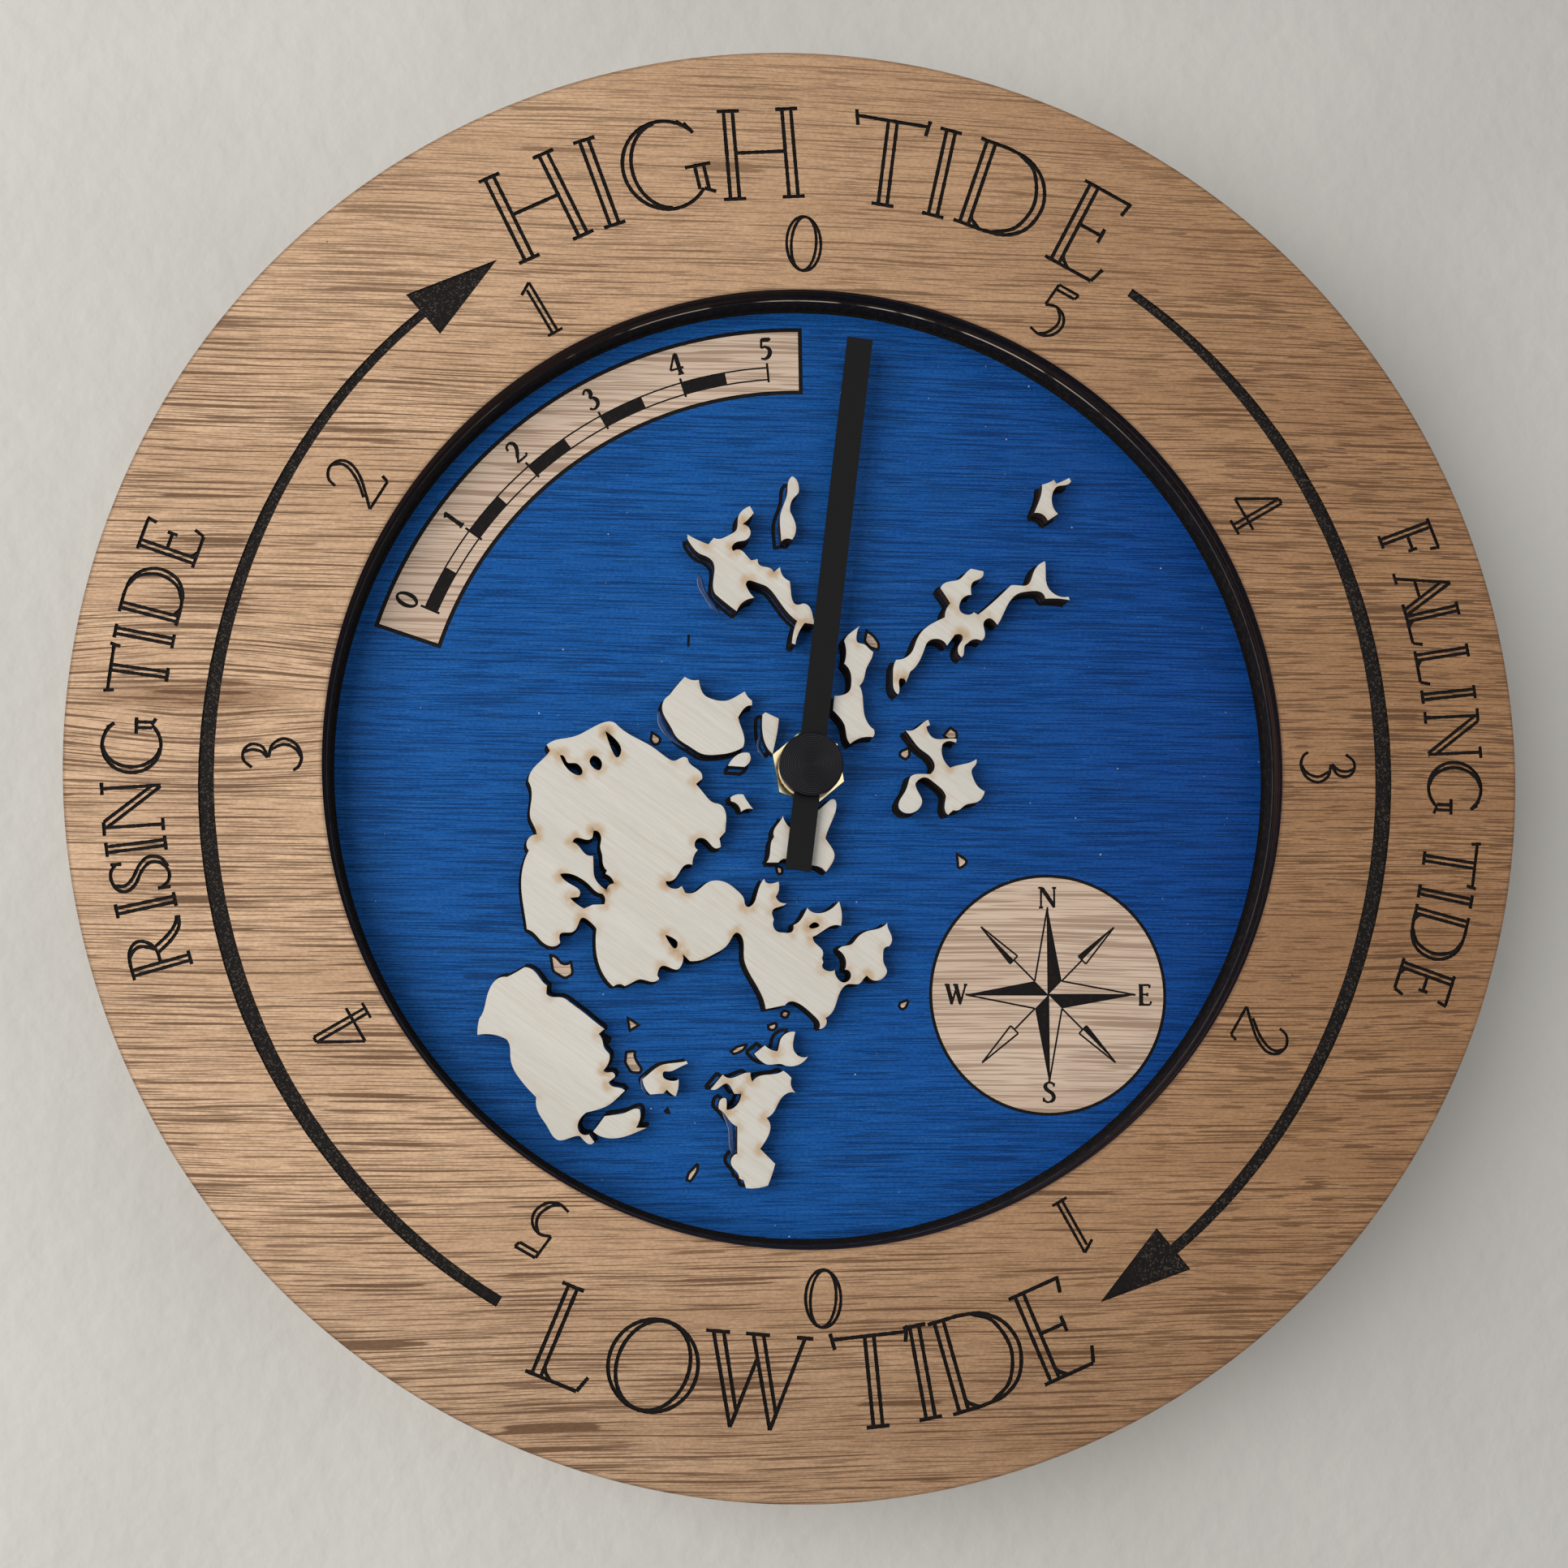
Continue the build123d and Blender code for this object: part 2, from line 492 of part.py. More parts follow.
central_coast_shares = [
    [(0.107, 0.299), (0.100, 0.277), (0.103, 0.263), (0.115, 0.260), (0.126, 0.251)],
    [(0.135, 0.244), (0.132, 0.231), (0.120, 0.207), (0.116, 0.189)],
    [(0.106, 0.172), (0.112, 0.152), (0.116, 0.111), (0.122, 0.095)],
    [(0.136, 0.080), (0.137, 0.070)],
    [(0.134, 0.064), (0.103, 0.060)],
    [(0.086, 0.049), (0.078, 0.067), (0.074, 0.089), (0.069, 0.098)],
    [(0.050, 0.119)],
    [(0.053, 0.150), (0.068, 0.151), (0.085, 0.161), (0.089, 0.178), (0.087, 0.200)],
    [(0.074, 0.218), (0.078, 0.248)],
    [(0.074, 0.266), (0.079, 0.275), (0.096, 0.290)],
]
eastern_coast_shares = [
    [(0.203, 0.079), (0.222, 0.081), (0.233, 0.089)],
    [(0.251, 0.102)],
    [(0.255, 0.091)],
    [(0.247, 0.087), (0.253, 0.072), (0.261, 0.064), (0.277, 0.061)],
    [(0.311, 0.062)],
    [(0.310, 0.054), (0.285, 0.054)],
    [(0.281, 0.050), (0.279, 0.037), (0.283, 0.019)],
    [(0.297, 0.001), (0.321, 0.008), (0.340, 0.013)],
    [(0.353, 0.020), (0.351, 0.008), (0.343, -0.003), (0.345, -0.018), (0.355, -0.037)],
    [(0.370, -0.048), (0.366, -0.059), (0.355, -0.070), (0.329, -0.077), (0.314, -0.088)],
    [(0.303, -0.088)],
    [(0.292, -0.098), (0.286, -0.090), (0.286, -0.070)],
    [(0.288, -0.059), (0.279, -0.044), (0.266, -0.033), (0.249, -0.021)],
    [(0.223, -0.033), (0.229, -0.051), (0.237, -0.070), (0.229, -0.087), (0.201, -0.095)],
    [(0.188, -0.085), (0.188, -0.074), (0.201, -0.051), (0.208, -0.033), (0.214, -0.018), (0.229, -0.013)],
    [(0.255, -0.013), (0.264, 0.008), (0.253, 0.026), (0.233, 0.041), (0.218, 0.059)],
]
main_lakes = [
    north_lake_shares,
    west_lake_shares,
    drop_lake_shares,
    fjord_lake_shares,
    south_lake_shares,
    slit_lake_shares,
    pond_shares,
]
islands = {
    "main_island": [main_coast_shares, *main_lakes],
    "west_island": [west_coast_shares],
    "shore_island": [shore_coast_shares],
    "hook_island": [hook_coast_shares],
    "winged_island": [winged_coast_shares],
    "southern_island": [southern_coast_shares],
    "round_island": [round_coast_shares],
    "narrow_island": [narrow_coast_shares],
    "leaf_island": [leaf_coast_shares],
    "bean_island": [bean_coast_shares],
    "tail_island": [tail_coast_shares],
    "slender_island": [slender_coast_shares],
    "northwest_island": [northwest_coast_shares],
    "northeast_island": [northeast_coast_shares],
    "ridge_island": [ridge_coast_shares],
    "central_island": [central_coast_shares],
    "eastern_island": [eastern_coast_shares],
}


def dial_plane(stand, place=(0, 0)):
    """The plane parallel to the wall at this distance from it, seen from the front, centred on a place."""
    return Plane(origin=(place[0], -stand, axis_height + place[1]), x_dir=(1, 0, 0), z_dir=(0, -1, 0))


def coast_line(runs):
    """Draw one closed coast in the open line: each run goes on to the next run's corner."""
    reach = opening_diameter / 2 + painted_lap
    for run, following in zip(runs, runs[1:] + runs[:1]):
        points = [(reach * right, reach * up) for right, up in run + following[:1]]
        if len(points) == 2:
            Line(*points)
        else:
            Spline(*points)


def meshed_turn(teeth, turn, mate_teeth, bearing):
    """The mate's turn, in degrees, that puts its gaps on this wheel's teeth along the line of centres."""
    return bearing + 180 - (turn - bearing) * teeth / mate_teeth - 180 / mate_teeth


def toothed_disc(module, teeth, turn):
    """Draw a toothed wheel with straight-flanked teeth in the open sketch, one tooth at the given turn."""
    pitch_radius = module * teeth / 2
    root_radius = pitch_radius - root_depth_share * module
    outer_radius = tip_radius(module, teeth)
    tooth = [
        (root_radius, -root_half_share),
        (outer_radius, -tip_half_share),
        (outer_radius, tip_half_share),
        (root_radius, root_half_share),
    ]
    corners = []
    for count in range(teeth):
        for radius, share in tooth:
            angle = math.radians(turn + (count + share) * 360 / teeth)
            corners.append((radius * math.cos(angle), radius * math.sin(angle)))
    Polygon(*corners, align=None)


# The steps of each arbor, and how the teeth are turned at rest
arbor_steps = [
    (bridge_back, pivot_diameter, arbor_back - bridge_back),
    (arbor_back, arbor_diameter, arbor_front - arbor_back),
    (arbor_front, pivot_diameter, pivot_length),
]
motion_pinion_turn = meshed_turn(tide_teeth, 0, motion_pinion_teeth, motion_bearing)
centre_pinion_turn = meshed_turn(motion_teeth, 0, centre_pinion_teeth, motion_bearing + 180)
second_pinion_turn = meshed_turn(centre_teeth, 0, second_pinion_teeth, second_bearing)
first_pinion_turn = meshed_turn(second_teeth, 0, first_pinion_teeth, first_bearing)
rotor_turn = meshed_turn(first_teeth, 0, rotor_teeth, rotor_bearing)

os.makedirs("parts", exist_ok=True)

# Front ring with the tide scale
with BuildPart() as front_ring:
    with BuildSketch(dial_plane(spacer_front)):
        Circle(outer_diameter / 2)
        Circle(opening_diameter / 2, mode=Mode.SUBTRACT)
    extrude(amount=ring_thickness)
front_ring.part.label = "front_ring"
export_step(front_ring.part, "parts/front_ring.step")

# Spacer ring, a hair smaller in the bore
with BuildPart() as spacer_ring:
    with BuildSketch(dial_plane(board_front)):
        Circle(outer_diameter / 2)
        Circle(opening_diameter / 2 - spacer_step, mode=Mode.SUBTRACT)
    extrude(amount=spacer_thickness)
spacer_ring.part.label = "spacer_ring"
export_step(spacer_ring.part, "parts/spacer_ring.step")

# Dial board behind both rings
with BuildPart() as dial_board:
    with BuildSketch(dial_plane(board_back)):
        Circle(outer_diameter / 2)
        Circle(bushing_diameter / 2 + fit_clearance, mode=Mode.SUBTRACT)
    extrude(amount=board_thickness)
dial_board.part.label = "dial_board"
export_step(dial_board.part, "parts/dial_board.step")

# Raised map pieces glued on the board, the first outline cut out and any others cut through as lakes
for name, (coast, *lakes) in islands.items():
    with BuildPart() as island:
        with BuildSketch(dial_plane(board_front)):
            with BuildLine():
                coast_line(coast)
            make_face()
            for lake in lakes:
                with BuildLine():
                    coast_line(lake)
                make_face(mode=Mode.SUBTRACT)
            RegularPolygon(nut_across_flats / 2 + nut_gap, 6, major_radius=False, rotation=nut_turn, mode=Mode.SUBTRACT)
        extrude(amount=island_thickness)
    island.part.label = name
    export_step(island.part, f"parts/{name}.step")

# Hand: a straight bar with a round hub under the cap
with BuildPart() as tide_hand:
    with BuildSketch(dial_plane(hand_back)):
        with Locations(at_bearing((0, 0), (hand_reach - tail_reach) / 2, 90 + hand_turn)):
            Rectangle(hand_width, hand_reach + tail_reach, rotation=hand_turn)
        Circle(hand_hub_diameter / 2)
        Circle(pipe_diameter / 2 + fit_clearance, mode=Mode.SUBTRACT)
    extrude(amount=hand_thickness)
tide_hand.part.label = "tide_hand"
export_step(tide_hand.part, "parts/tide_hand.step")

# Bush that holds the hand on the pipe
with BuildPart() as hand_bush:
    with BuildSketch(dial_plane(hand_back - bush_height)):
        Circle(bush_diameter / 2)
        Circle(pipe_diameter / 2, mode=Mode.SUBTRACT)
    extrude(amount=bush_height)
hand_bush.part.label = "hand_bush"
export_step(hand_bush.part, "parts/hand_bush.step")

# Hub cap, plugged into the pipe
with BuildPart() as hub_cap:
    with BuildSketch(dial_plane(hand_front)):
        Circle(cap_diameter / 2)
    extrude(amount=cap_thickness)
    chamfer(hub_cap.faces().sort_by(Axis.Y)[0].edges(), length=cap_chamfer)
    with BuildSketch(dial_plane(hand_front - spigot_length)):
        Circle(centre_arbor_diameter / 2 + running_clearance)
    extrude(amount=spigot_length)
hub_cap.part.label = "hub_cap"
export_step(hub_cap.part, "parts/hub_cap.step")

# Hex nut with a round collar
with BuildPart() as hex_nut:
    with BuildSketch(dial_plane(board_front)):
        RegularPolygon(nut_across_flats / 2, 6, major_radius=False, rotation=nut_turn)
    extrude(amount=nut_height)
    with BuildSketch(dial_plane(board_front + nut_height)):
        Circle(collar_diameter / 2)
    extrude(amount=collar_height)
    chamfer(hex_nut.faces().sort_by(Axis.Y)[0].edges(), length=nut_chamfer)
    with BuildSketch(dial_plane(board_front)):
        Circle(bushing_diameter / 2 + fit_clearance)
    extrude(amount=nut_height + collar_height, mode=Mode.SUBTRACT)
hex_nut.part.label = "hex_nut"
export_step(hex_nut.part, "parts/hex_nut.step")

# Bushing, flanged inside the case, that the nut screws on
with BuildPart() as threaded_bushing:
    with BuildSketch(dial_plane(flange_back)):
        Circle(flange_diameter / 2)
    extrude(amount=flange_thickness)
    with BuildSketch(dial_plane(case_inner)):
        Circle(bushing_diameter / 2)
    extrude(amount=bushing_end - case_inner)
    with BuildSketch(dial_plane(flange_back)):
        Circle(pipe_diameter / 2 + running_clearance)
    extrude(amount=bushing_end - flange_back, mode=Mode.SUBTRACT)
threaded_bushing.part.label = "threaded_bushing"
export_step(threaded_bushing.part, "parts/threaded_bushing.step")

# Rubber washer between movement and board
with BuildPart() as rubber_washer:
    with BuildSketch(dial_plane(case_front)):
        Circle(washer_diameter / 2)
        Circle(bushing_diameter / 2 + fit_clearance, mode=Mode.SUBTRACT)
    extrude(amount=washer_thickness)
rubber_washer.part.label = "rubber_washer"
export_step(rubber_washer.part, "parts/rubber_washer.step")

# Movement's front case: a shell with screw posts, a wall beside the battery and blind holes for the pivots
with BuildPart() as movement_front_case:
    with BuildSketch(dial_plane(cover_thickness)):
        with Locations((0, case_middle)):
            RectangleRounded(case_width, case_above_axis + case_below_axis, case_corner)
    extrude(amount=case_front - cover_thickness)
    fillet(movement_front_case.faces().sort_by(Axis.Y)[0].edges(), radius=case_edge)
    with BuildSketch(dial_plane(cover_thickness)):
        with Locations((0, (inner_top + inner_bottom) / 2)):
            RectangleRounded(2 * inner_half_width, inner_top - inner_bottom, case_corner - case_wall)
    extrude(amount=case_inner - cover_thickness, mode=Mode.SUBTRACT)
    with BuildSketch(dial_plane(cover_thickness)):
        with Locations((0, (partition_bottom + partition_top) / 2)):
            Rectangle(2 * inner_half_width, partition_thickness)
    extrude(amount=case_inner - cover_thickness)
    with BuildSketch(dial_plane(bridge_front)):
        with Locations(*post_places):
            Circle(post_diameter / 2)
    extrude(amount=case_inner - bridge_front)
    with BuildSketch(dial_plane(bridge_front)):
        with Locations(*post_places):
            Circle(screw_diameter / 2 + fit_clearance)
    extrude(amount=screw_depth, mode=Mode.SUBTRACT)
    with BuildSketch(dial_plane(case_inner)):
        with Locations(*train_places):
            Circle(pivot_diameter / 2 + running_clearance)
    extrude(amount=pivot_length, mode=Mode.SUBTRACT)
    with BuildSketch(dial_plane(case_inner)):
        Circle(bushing_diameter / 2 + fit_clearance)
    extrude(amount=case_wall, mode=Mode.SUBTRACT)
movement_front_case.part.label = "movement_front_case"
export_step(movement_front_case.part, "parts/movement_front_case.step")

# Rear cover with the knob's hole, the battery's window and the hanger's seat
with BuildPart() as movement_rear_cover:
    with BuildSketch(dial_plane(0)):
        with Locations((0, case_middle)):
            RectangleRounded(case_width, case_above_axis + case_below_axis, case_corner)
        Circle(knob_diameter / 2 + knob_window_gap, mode=Mode.SUBTRACT)
        with Locations((0, battery_height)):
            Rectangle(
                2 * (inner_half_width - contact_thickness - window_margin),
                battery_diameter + 2 * window_margin,
                mode=Mode.SUBTRACT,
            )
    extrude(amount=cover_thickness)
    with BuildSketch(dial_plane(0)):
        with Locations((0, case_above_axis - hanger_seat / 2)):
            Rectangle(hanger_width + 2 * fit_clearance, hanger_seat + 2 * fit_clearance)
    extrude(amount=hanger_thickness, mode=Mode.SUBTRACT)
    with BuildSketch(dial_plane(0)):
        with Locations((0, case_above_axis - stake_drop)):
            with GridLocations(stake_spacing, 0, 2, 1):
                Circle(stake_diameter / 2)
    extrude(amount=hanger_thickness)
movement_rear_cover.part.label = "movement_rear_cover"
export_step(movement_rear_cover.part, "parts/movement_rear_cover.step")

# Hanger, a steel tab staked into the cover
with BuildPart() as hanger:
    with BuildSketch(dial_plane(0)):
        with Locations((0, case_above_axis + (hanger_rise - hanger_seat) / 2)):
            Rectangle(hanger_width, hanger_rise + hanger_seat)
        with Locations((0, case_above_axis + hanger_rise)):
            Circle(hanger_width / 2)
            Circle(hanger_hole_diameter / 2, mode=Mode.SUBTRACT)
        with Locations((0, case_above_axis - stake_drop)):
            with GridLocations(stake_spacing, 0, 2, 1):
                Circle(stake_diameter / 2 + fit_clearance, mode=Mode.SUBTRACT)
    extrude(amount=hanger_thickness)
hanger.part.label = "hanger"
export_step(hanger.part, "parts/hanger.step")

# Tide wheel and the pipe that carries the hand
with BuildPart() as tide_wheel:
    with BuildSketch(dial_plane(tide_back)):
        toothed_disc(fine_module, tide_teeth, 0)
    extrude(amount=wheel_thickness)
    with BuildSketch(dial_plane(tide_front)):
        Circle(tide_shoulder_diameter / 2)
    extrude(amount=tide_shoulder)
    with BuildSketch(dial_plane(tide_front)):
        Circle(pipe_diameter / 2)
    extrude(amount=hand_front - tide_front)
    with BuildSketch(dial_plane(tide_back)):
        Circle(centre_arbor_diameter / 2 + running_clearance)
    extrude(amount=hand_front - tide_back, mode=Mode.SUBTRACT)
tide_wheel.part.label = "tide_wheel"
export_step(tide_wheel.part, "parts/tide_wheel.step")

# Motion wheel, whose pinion drives the tide wheel
with BuildPart() as motion_wheel:
    with BuildSketch(dial_plane(motion_back, motion_place)):
        toothed_disc(coarse_module, motion_teeth, 0)
    extrude(amount=wheel_thickness)
    with BuildSketch(dial_plane(motion_front, motion_place)):
        toothed_disc(fine_module, motion_pinion_teeth, motion_pinion_turn)
    extrude(amount=tide_front - motion_front)
    for stand, diameter, length in arbor_steps:
        with BuildSketch(dial_plane(stand, motion_place)):
            Circle(diameter / 2)
        extrude(amount=length)
motion_wheel.part.label = "motion_wheel"
export_step(motion_wheel.part, "parts/motion_wheel.step")

# Centre arbor, from the setting knob to a pilot in the tide wheel
with BuildPart() as centre_arbor:
    with BuildSketch(dial_plane(knob_recess)):
        Circle(centre_arbor_diameter / 2)
    extrude(amount=tide_back + pilot_length - knob_recess)
    with BuildSketch(dial_plane(motion_back)):
        toothed_disc(coarse_module, centre_pinion_teeth, centre_pinion_turn)
    extrude(amount=wheel_thickness + pinion_overlap)
centre_arbor.part.label = "centre_arbor"
export_step(centre_arbor.part, "parts/centre_arbor.step")

# Setting knob, fluted, in the cover's hole
with BuildPart() as setting_knob:
    with BuildSketch(dial_plane(knob_recess)):
        Circle(knob_diameter / 2)
        with PolarLocations(knob_diameter / 2, flute_count):
            Circle(flute_diameter / 2, mode=Mode.SUBTRACT)
        Circle(centre_arbor_diameter / 2, mode=Mode.SUBTRACT)
    extrude(amount=knob_thickness)
setting_knob.part.label = "setting_knob"
export_step(setting_knob.part, "parts/setting_knob.step")

# Centre wheel, which slips on the arbor when the hand is set
with BuildPart() as centre_wheel:
    with BuildSketch(dial_plane(centre_back)):
        toothed_disc(fine_module, centre_teeth, 0)
    extrude(amount=wheel_thickness)
    with BuildSketch(dial_plane(arbor_back)):
        Circle(centre_hub_diameter / 2)
    extrude(amount=motion_back - axial_play - arbor_back)
    with BuildSketch(dial_plane(arbor_back)):
        Circle(centre_arbor_diameter / 2 + running_clearance)
    extrude(amount=motion_back - arbor_back, mode=Mode.SUBTRACT)
centre_wheel.part.label = "centre_wheel"
export_step(centre_wheel.part, "parts/centre_wheel.step")

# Second wheel, whose pinion drives the centre wheel
with BuildPart() as second_wheel:
    with BuildSketch(dial_plane(second_back, second_place)):
        toothed_disc(fine_module, second_teeth, 0)
    extrude(amount=wheel_thickness)
    with BuildSketch(dial_plane(second_front, second_place)):
        toothed_disc(fine_module, second_pinion_teeth, second_pinion_turn)
    extrude(amount=centre_front + pinion_overlap - second_front)
    for stand, diameter, length in arbor_steps:
        with BuildSketch(dial_plane(stand, second_place)):
            Circle(diameter / 2)
        extrude(amount=length)
second_wheel.part.label = "second_wheel"
export_step(second_wheel.part, "parts/second_wheel.step")

# First wheel, whose pinion drives the second wheel
with BuildPart() as first_wheel:
    with BuildSketch(dial_plane(centre_back, first_place)):
        toothed_disc(fine_module, first_teeth, 0)
    extrude(amount=wheel_thickness)
    with BuildSketch(dial_plane(second_back - pinion_overlap, first_place)):
        toothed_disc(fine_module, first_pinion_teeth, first_pinion_turn)
    extrude(amount=centre_back + pinion_overlap - second_back)
    for stand, diameter, length in arbor_steps:
        with BuildSketch(dial_plane(stand, first_place)):
            Circle(diameter / 2)
        extrude(amount=length)
first_wheel.part.label = "first_wheel"
export_step(first_wheel.part, "parts/first_wheel.step")

# Rotor: a magnet over the pinion that drives the first wheel
with BuildPart() as rotor:
    with BuildSketch(dial_plane(centre_back - pinion_overlap, rotor_place)):
        toothed_disc(fine_module, rotor_teeth, rotor_turn)
    extrude(amount=wheel_thickness + 2 * pinion_overlap)
    with BuildSketch(dial_plane(motion_back, rotor_place)):
        Circle(magnet_diameter / 2)
    extrude(amount=magnet_height)
    for stand, diameter, length in arbor_steps:
        with BuildSketch(dial_plane(stand, rotor_place)):
            Circle(diameter / 2)
        extrude(amount=length)
rotor.part.label = "rotor"
export_step(rotor.part, "parts/rotor.step")

# Bridge that carries the rear pivots, on the case's posts
with BuildPart() as train_bridge:
    with BuildSketch(dial_plane(bridge_back)):
        with Locations((0, (inner_top + partition_top) / 2)):
            RectangleRounded(
                2 * (inner_half_width - bridge_margin),
                inner_top - partition_top - 2 * bridge_margin,
                case_corner - case_wall - bridge_margin,
            )
        with Locations(*train_places):
            Circle(pivot_diameter / 2 + running_clearance, mode=Mode.SUBTRACT)
        with Locations(*post_places):
            Circle(screw_diameter / 2 + fit_clearance, mode=Mode.SUBTRACT)
        Circle(centre_arbor_diameter / 2 + running_clearance, mode=Mode.SUBTRACT)
    extrude(amount=bridge_thickness)
train_bridge.part.label = "train_bridge"
export_step(train_bridge.part, "parts/train_bridge.step")

# Screws that hold the bridge to the posts
with BuildPart() as bridge_screws:
    with BuildSketch(dial_plane(bridge_back - screw_head_height)):
        with Locations(*post_places):
            Circle(screw_head_diameter / 2)
    extrude(amount=screw_head_height)
    with BuildSketch(dial_plane(bridge_back)):
        with Locations(*post_places):
            Circle(screw_diameter / 2)
    extrude(amount=bridge_thickness + screw_depth)
bridge_screws.part.label = "bridge_screws"
export_step(bridge_screws.part, "parts/bridge_screws.step")

# Coil: a winding between two square flanges that stand on the bridge
coil_plane = Plane(
    origin=(coil_end - coil_length, -(bridge_front + coil_flange / 2), axis_height + coil_height),
    x_dir=(0, -1, 0),
    z_dir=(1, 0, 0),
)
with BuildPart() as coil:
    with BuildSketch(coil_plane, coil_plane.offset(coil_length - coil_flange_thickness)):
        Rectangle(coil_flange, coil_flange)
    extrude(amount=coil_flange_thickness)
    with BuildSketch(coil_plane):
        Circle(coil_winding_diameter / 2)
    extrude(amount=coil_length)
coil.part.label = "coil"
export_step(coil.part, "parts/coil.step")

# Stator plate, from the coil's flanges to a hole round the magnet
with BuildPart() as stator:
    with BuildSketch(dial_plane(stator_back)):
        with Locations(rotor_place):
            Circle(stator_radius)
        with Locations(((rotor_place[0] + coil_end) / 2, coil_height)):
            Rectangle(coil_end - rotor_place[0], stator_bar)
        with Locations(rotor_place):
            Circle(magnet_diameter / 2 + magnet_gap, mode=Mode.SUBTRACT)
    extrude(amount=stator_thickness)
stator.part.label = "stator"
export_step(stator.part, "parts/stator.step")

# Circuit board with its moulded chip, on the bridge
circuit_bottom = partition_top + post_inset + post_diameter / 2 + circuit_gap
circuit_top = coil_bottom - circuit_gap
circuit_place = (
    inner_half_width - bridge_margin - circuit_gap - circuit_width / 2,
    (circuit_bottom + circuit_top) / 2,
)
with BuildPart() as circuit_board:
    with BuildSketch(dial_plane(bridge_front)):
        with Locations(circuit_place):
            Rectangle(circuit_width, circuit_top - circuit_bottom)
    extrude(amount=circuit_thickness)
    with BuildSketch(dial_plane(bridge_front + circuit_thickness)):
        with Locations(circuit_place):
            Circle(chip_diameter / 2)
    extrude(amount=chip_height)
circuit_board.part.label = "circuit_board"
export_step(circuit_board.part, "parts/circuit_board.step")

# Quartz crystal's can, lying on the circuit board
quartz_plane = Plane(
    origin=(
        circuit_place[0] - quartz_length / 2,
        -(bridge_front + circuit_thickness + quartz_diameter / 2),
        axis_height + circuit_bottom + quartz_inset + quartz_diameter / 2,
    ),
    x_dir=(0, -1, 0),
    z_dir=(1, 0, 0),
)
with BuildPart() as quartz_can:
    with BuildSketch(quartz_plane):
        Circle(quartz_diameter / 2)
    extrude(amount=quartz_length)
quartz_can.part.label = "quartz_can"
export_step(quartz_can.part, "parts/quartz_can.step")

# Battery, lying along X, its nub on the positive contact
nub_end = inner_half_width - contact_thickness
battery_end = nub_end - battery_nub - battery_length
battery_plane = Plane(
    origin=(battery_end, -battery_stand, axis_height + battery_height),
    x_dir=(0, -1, 0),
    z_dir=(1, 0, 0),
)
with BuildPart() as battery:
    with BuildSketch(battery_plane):
        Circle(battery_diameter / 2)
    extrude(amount=battery_length)
    with BuildSketch(battery_plane):
        Circle(battery_nub_diameter / 2)
    extrude(amount=battery_length + battery_nub)
battery.part.label = "battery"
export_step(battery.part, "parts/battery.step")

# Positive contact, a plate on the case's side wall
with BuildPart() as positive_contact:
    with BuildSketch(battery_plane.offset(nub_end - battery_end)):
        with Locations((contact_stand - battery_stand, 0)):
            Rectangle(contact_height, contact_width)
    extrude(amount=contact_thickness)
positive_contact.part.label = "positive_contact"
export_step(positive_contact.part, "parts/positive_contact.step")

# Negative contact: a plate with a bent leaf that presses on the battery
leaf_foot = contact_height / 2
leaf_tip = contact_height / 4
with BuildPart() as negative_contact:
    with BuildSketch(battery_plane.offset(-(battery_end + inner_half_width))):
        with Locations((contact_stand - battery_stand, 0)):
            Rectangle(contact_height, contact_width)
    extrude(amount=contact_thickness)
    with BuildSketch(
        Plane(
            origin=(contact_thickness - inner_half_width, -contact_stand, axis_height + battery_height),
            x_dir=(1, 0, 0),
            z_dir=(0, 0, 1),
        ).offset(-leaf_width / 2)
    ):
        with BuildLine():
            Polyline(
                (0, leaf_foot),
                (leaf_room, leaf_tip),
                (leaf_room, -leaf_tip),
                (leaf_room - leaf_thickness, -leaf_tip),
                (leaf_room - leaf_thickness, leaf_tip - leaf_thickness),
                (0, leaf_foot - leaf_thickness),
                close=True,
            )
        make_face()
    extrude(amount=leaf_width)
negative_contact.part.label = "negative_contact"
export_step(negative_contact.part, "parts/negative_contact.step")
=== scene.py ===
import math
from itertools import chain

import bpy
import numpy as np
from mathutils import Matrix, Vector
from mathutils.geometry import delaunay_2d_cdt


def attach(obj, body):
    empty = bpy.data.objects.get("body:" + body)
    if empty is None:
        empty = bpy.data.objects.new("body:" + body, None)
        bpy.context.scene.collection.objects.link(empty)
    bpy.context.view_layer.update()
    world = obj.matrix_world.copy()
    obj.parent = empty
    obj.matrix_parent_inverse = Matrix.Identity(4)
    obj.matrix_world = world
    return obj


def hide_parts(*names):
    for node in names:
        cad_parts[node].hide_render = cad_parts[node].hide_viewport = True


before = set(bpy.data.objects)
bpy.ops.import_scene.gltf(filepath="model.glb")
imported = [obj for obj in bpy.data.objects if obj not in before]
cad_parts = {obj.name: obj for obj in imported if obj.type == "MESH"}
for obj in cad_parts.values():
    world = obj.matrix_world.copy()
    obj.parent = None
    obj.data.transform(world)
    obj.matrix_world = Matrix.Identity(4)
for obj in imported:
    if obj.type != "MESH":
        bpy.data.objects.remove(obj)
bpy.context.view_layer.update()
print("frame loaded:", len(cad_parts), "nodes")

# Outlines are worked out in millimetres from the hand's axis, x to the right and z up as seen from the front
mm = 0.001
axisHeight = -30.0
inside, hole, line, bare = 1, 2, 4, 8  # what a cut triangle lies in
jitter = np.random.default_rng(7)


# small helpers for points on the dial

def polar(radius, clockwise):
    # a point at a radius and an angle in degrees, clockwise from the top
    angle = np.radians(clockwise)
    return np.stack(np.broadcast_arrays(radius * np.sin(angle), radius * np.cos(angle)), -1)


def circle(radius, count, centre=(0, 0)):
    return polar(radius, -np.arange(count) * 360 / count) + np.array(centre)  # anticlockwise


def twiceArea(loop):
    # above zero where the outline runs anticlockwise
    return np.sum(loop[:, 0] * np.roll(loop[:, 1], -1) - loop[:, 1] * np.roll(loop[:, 0], -1))


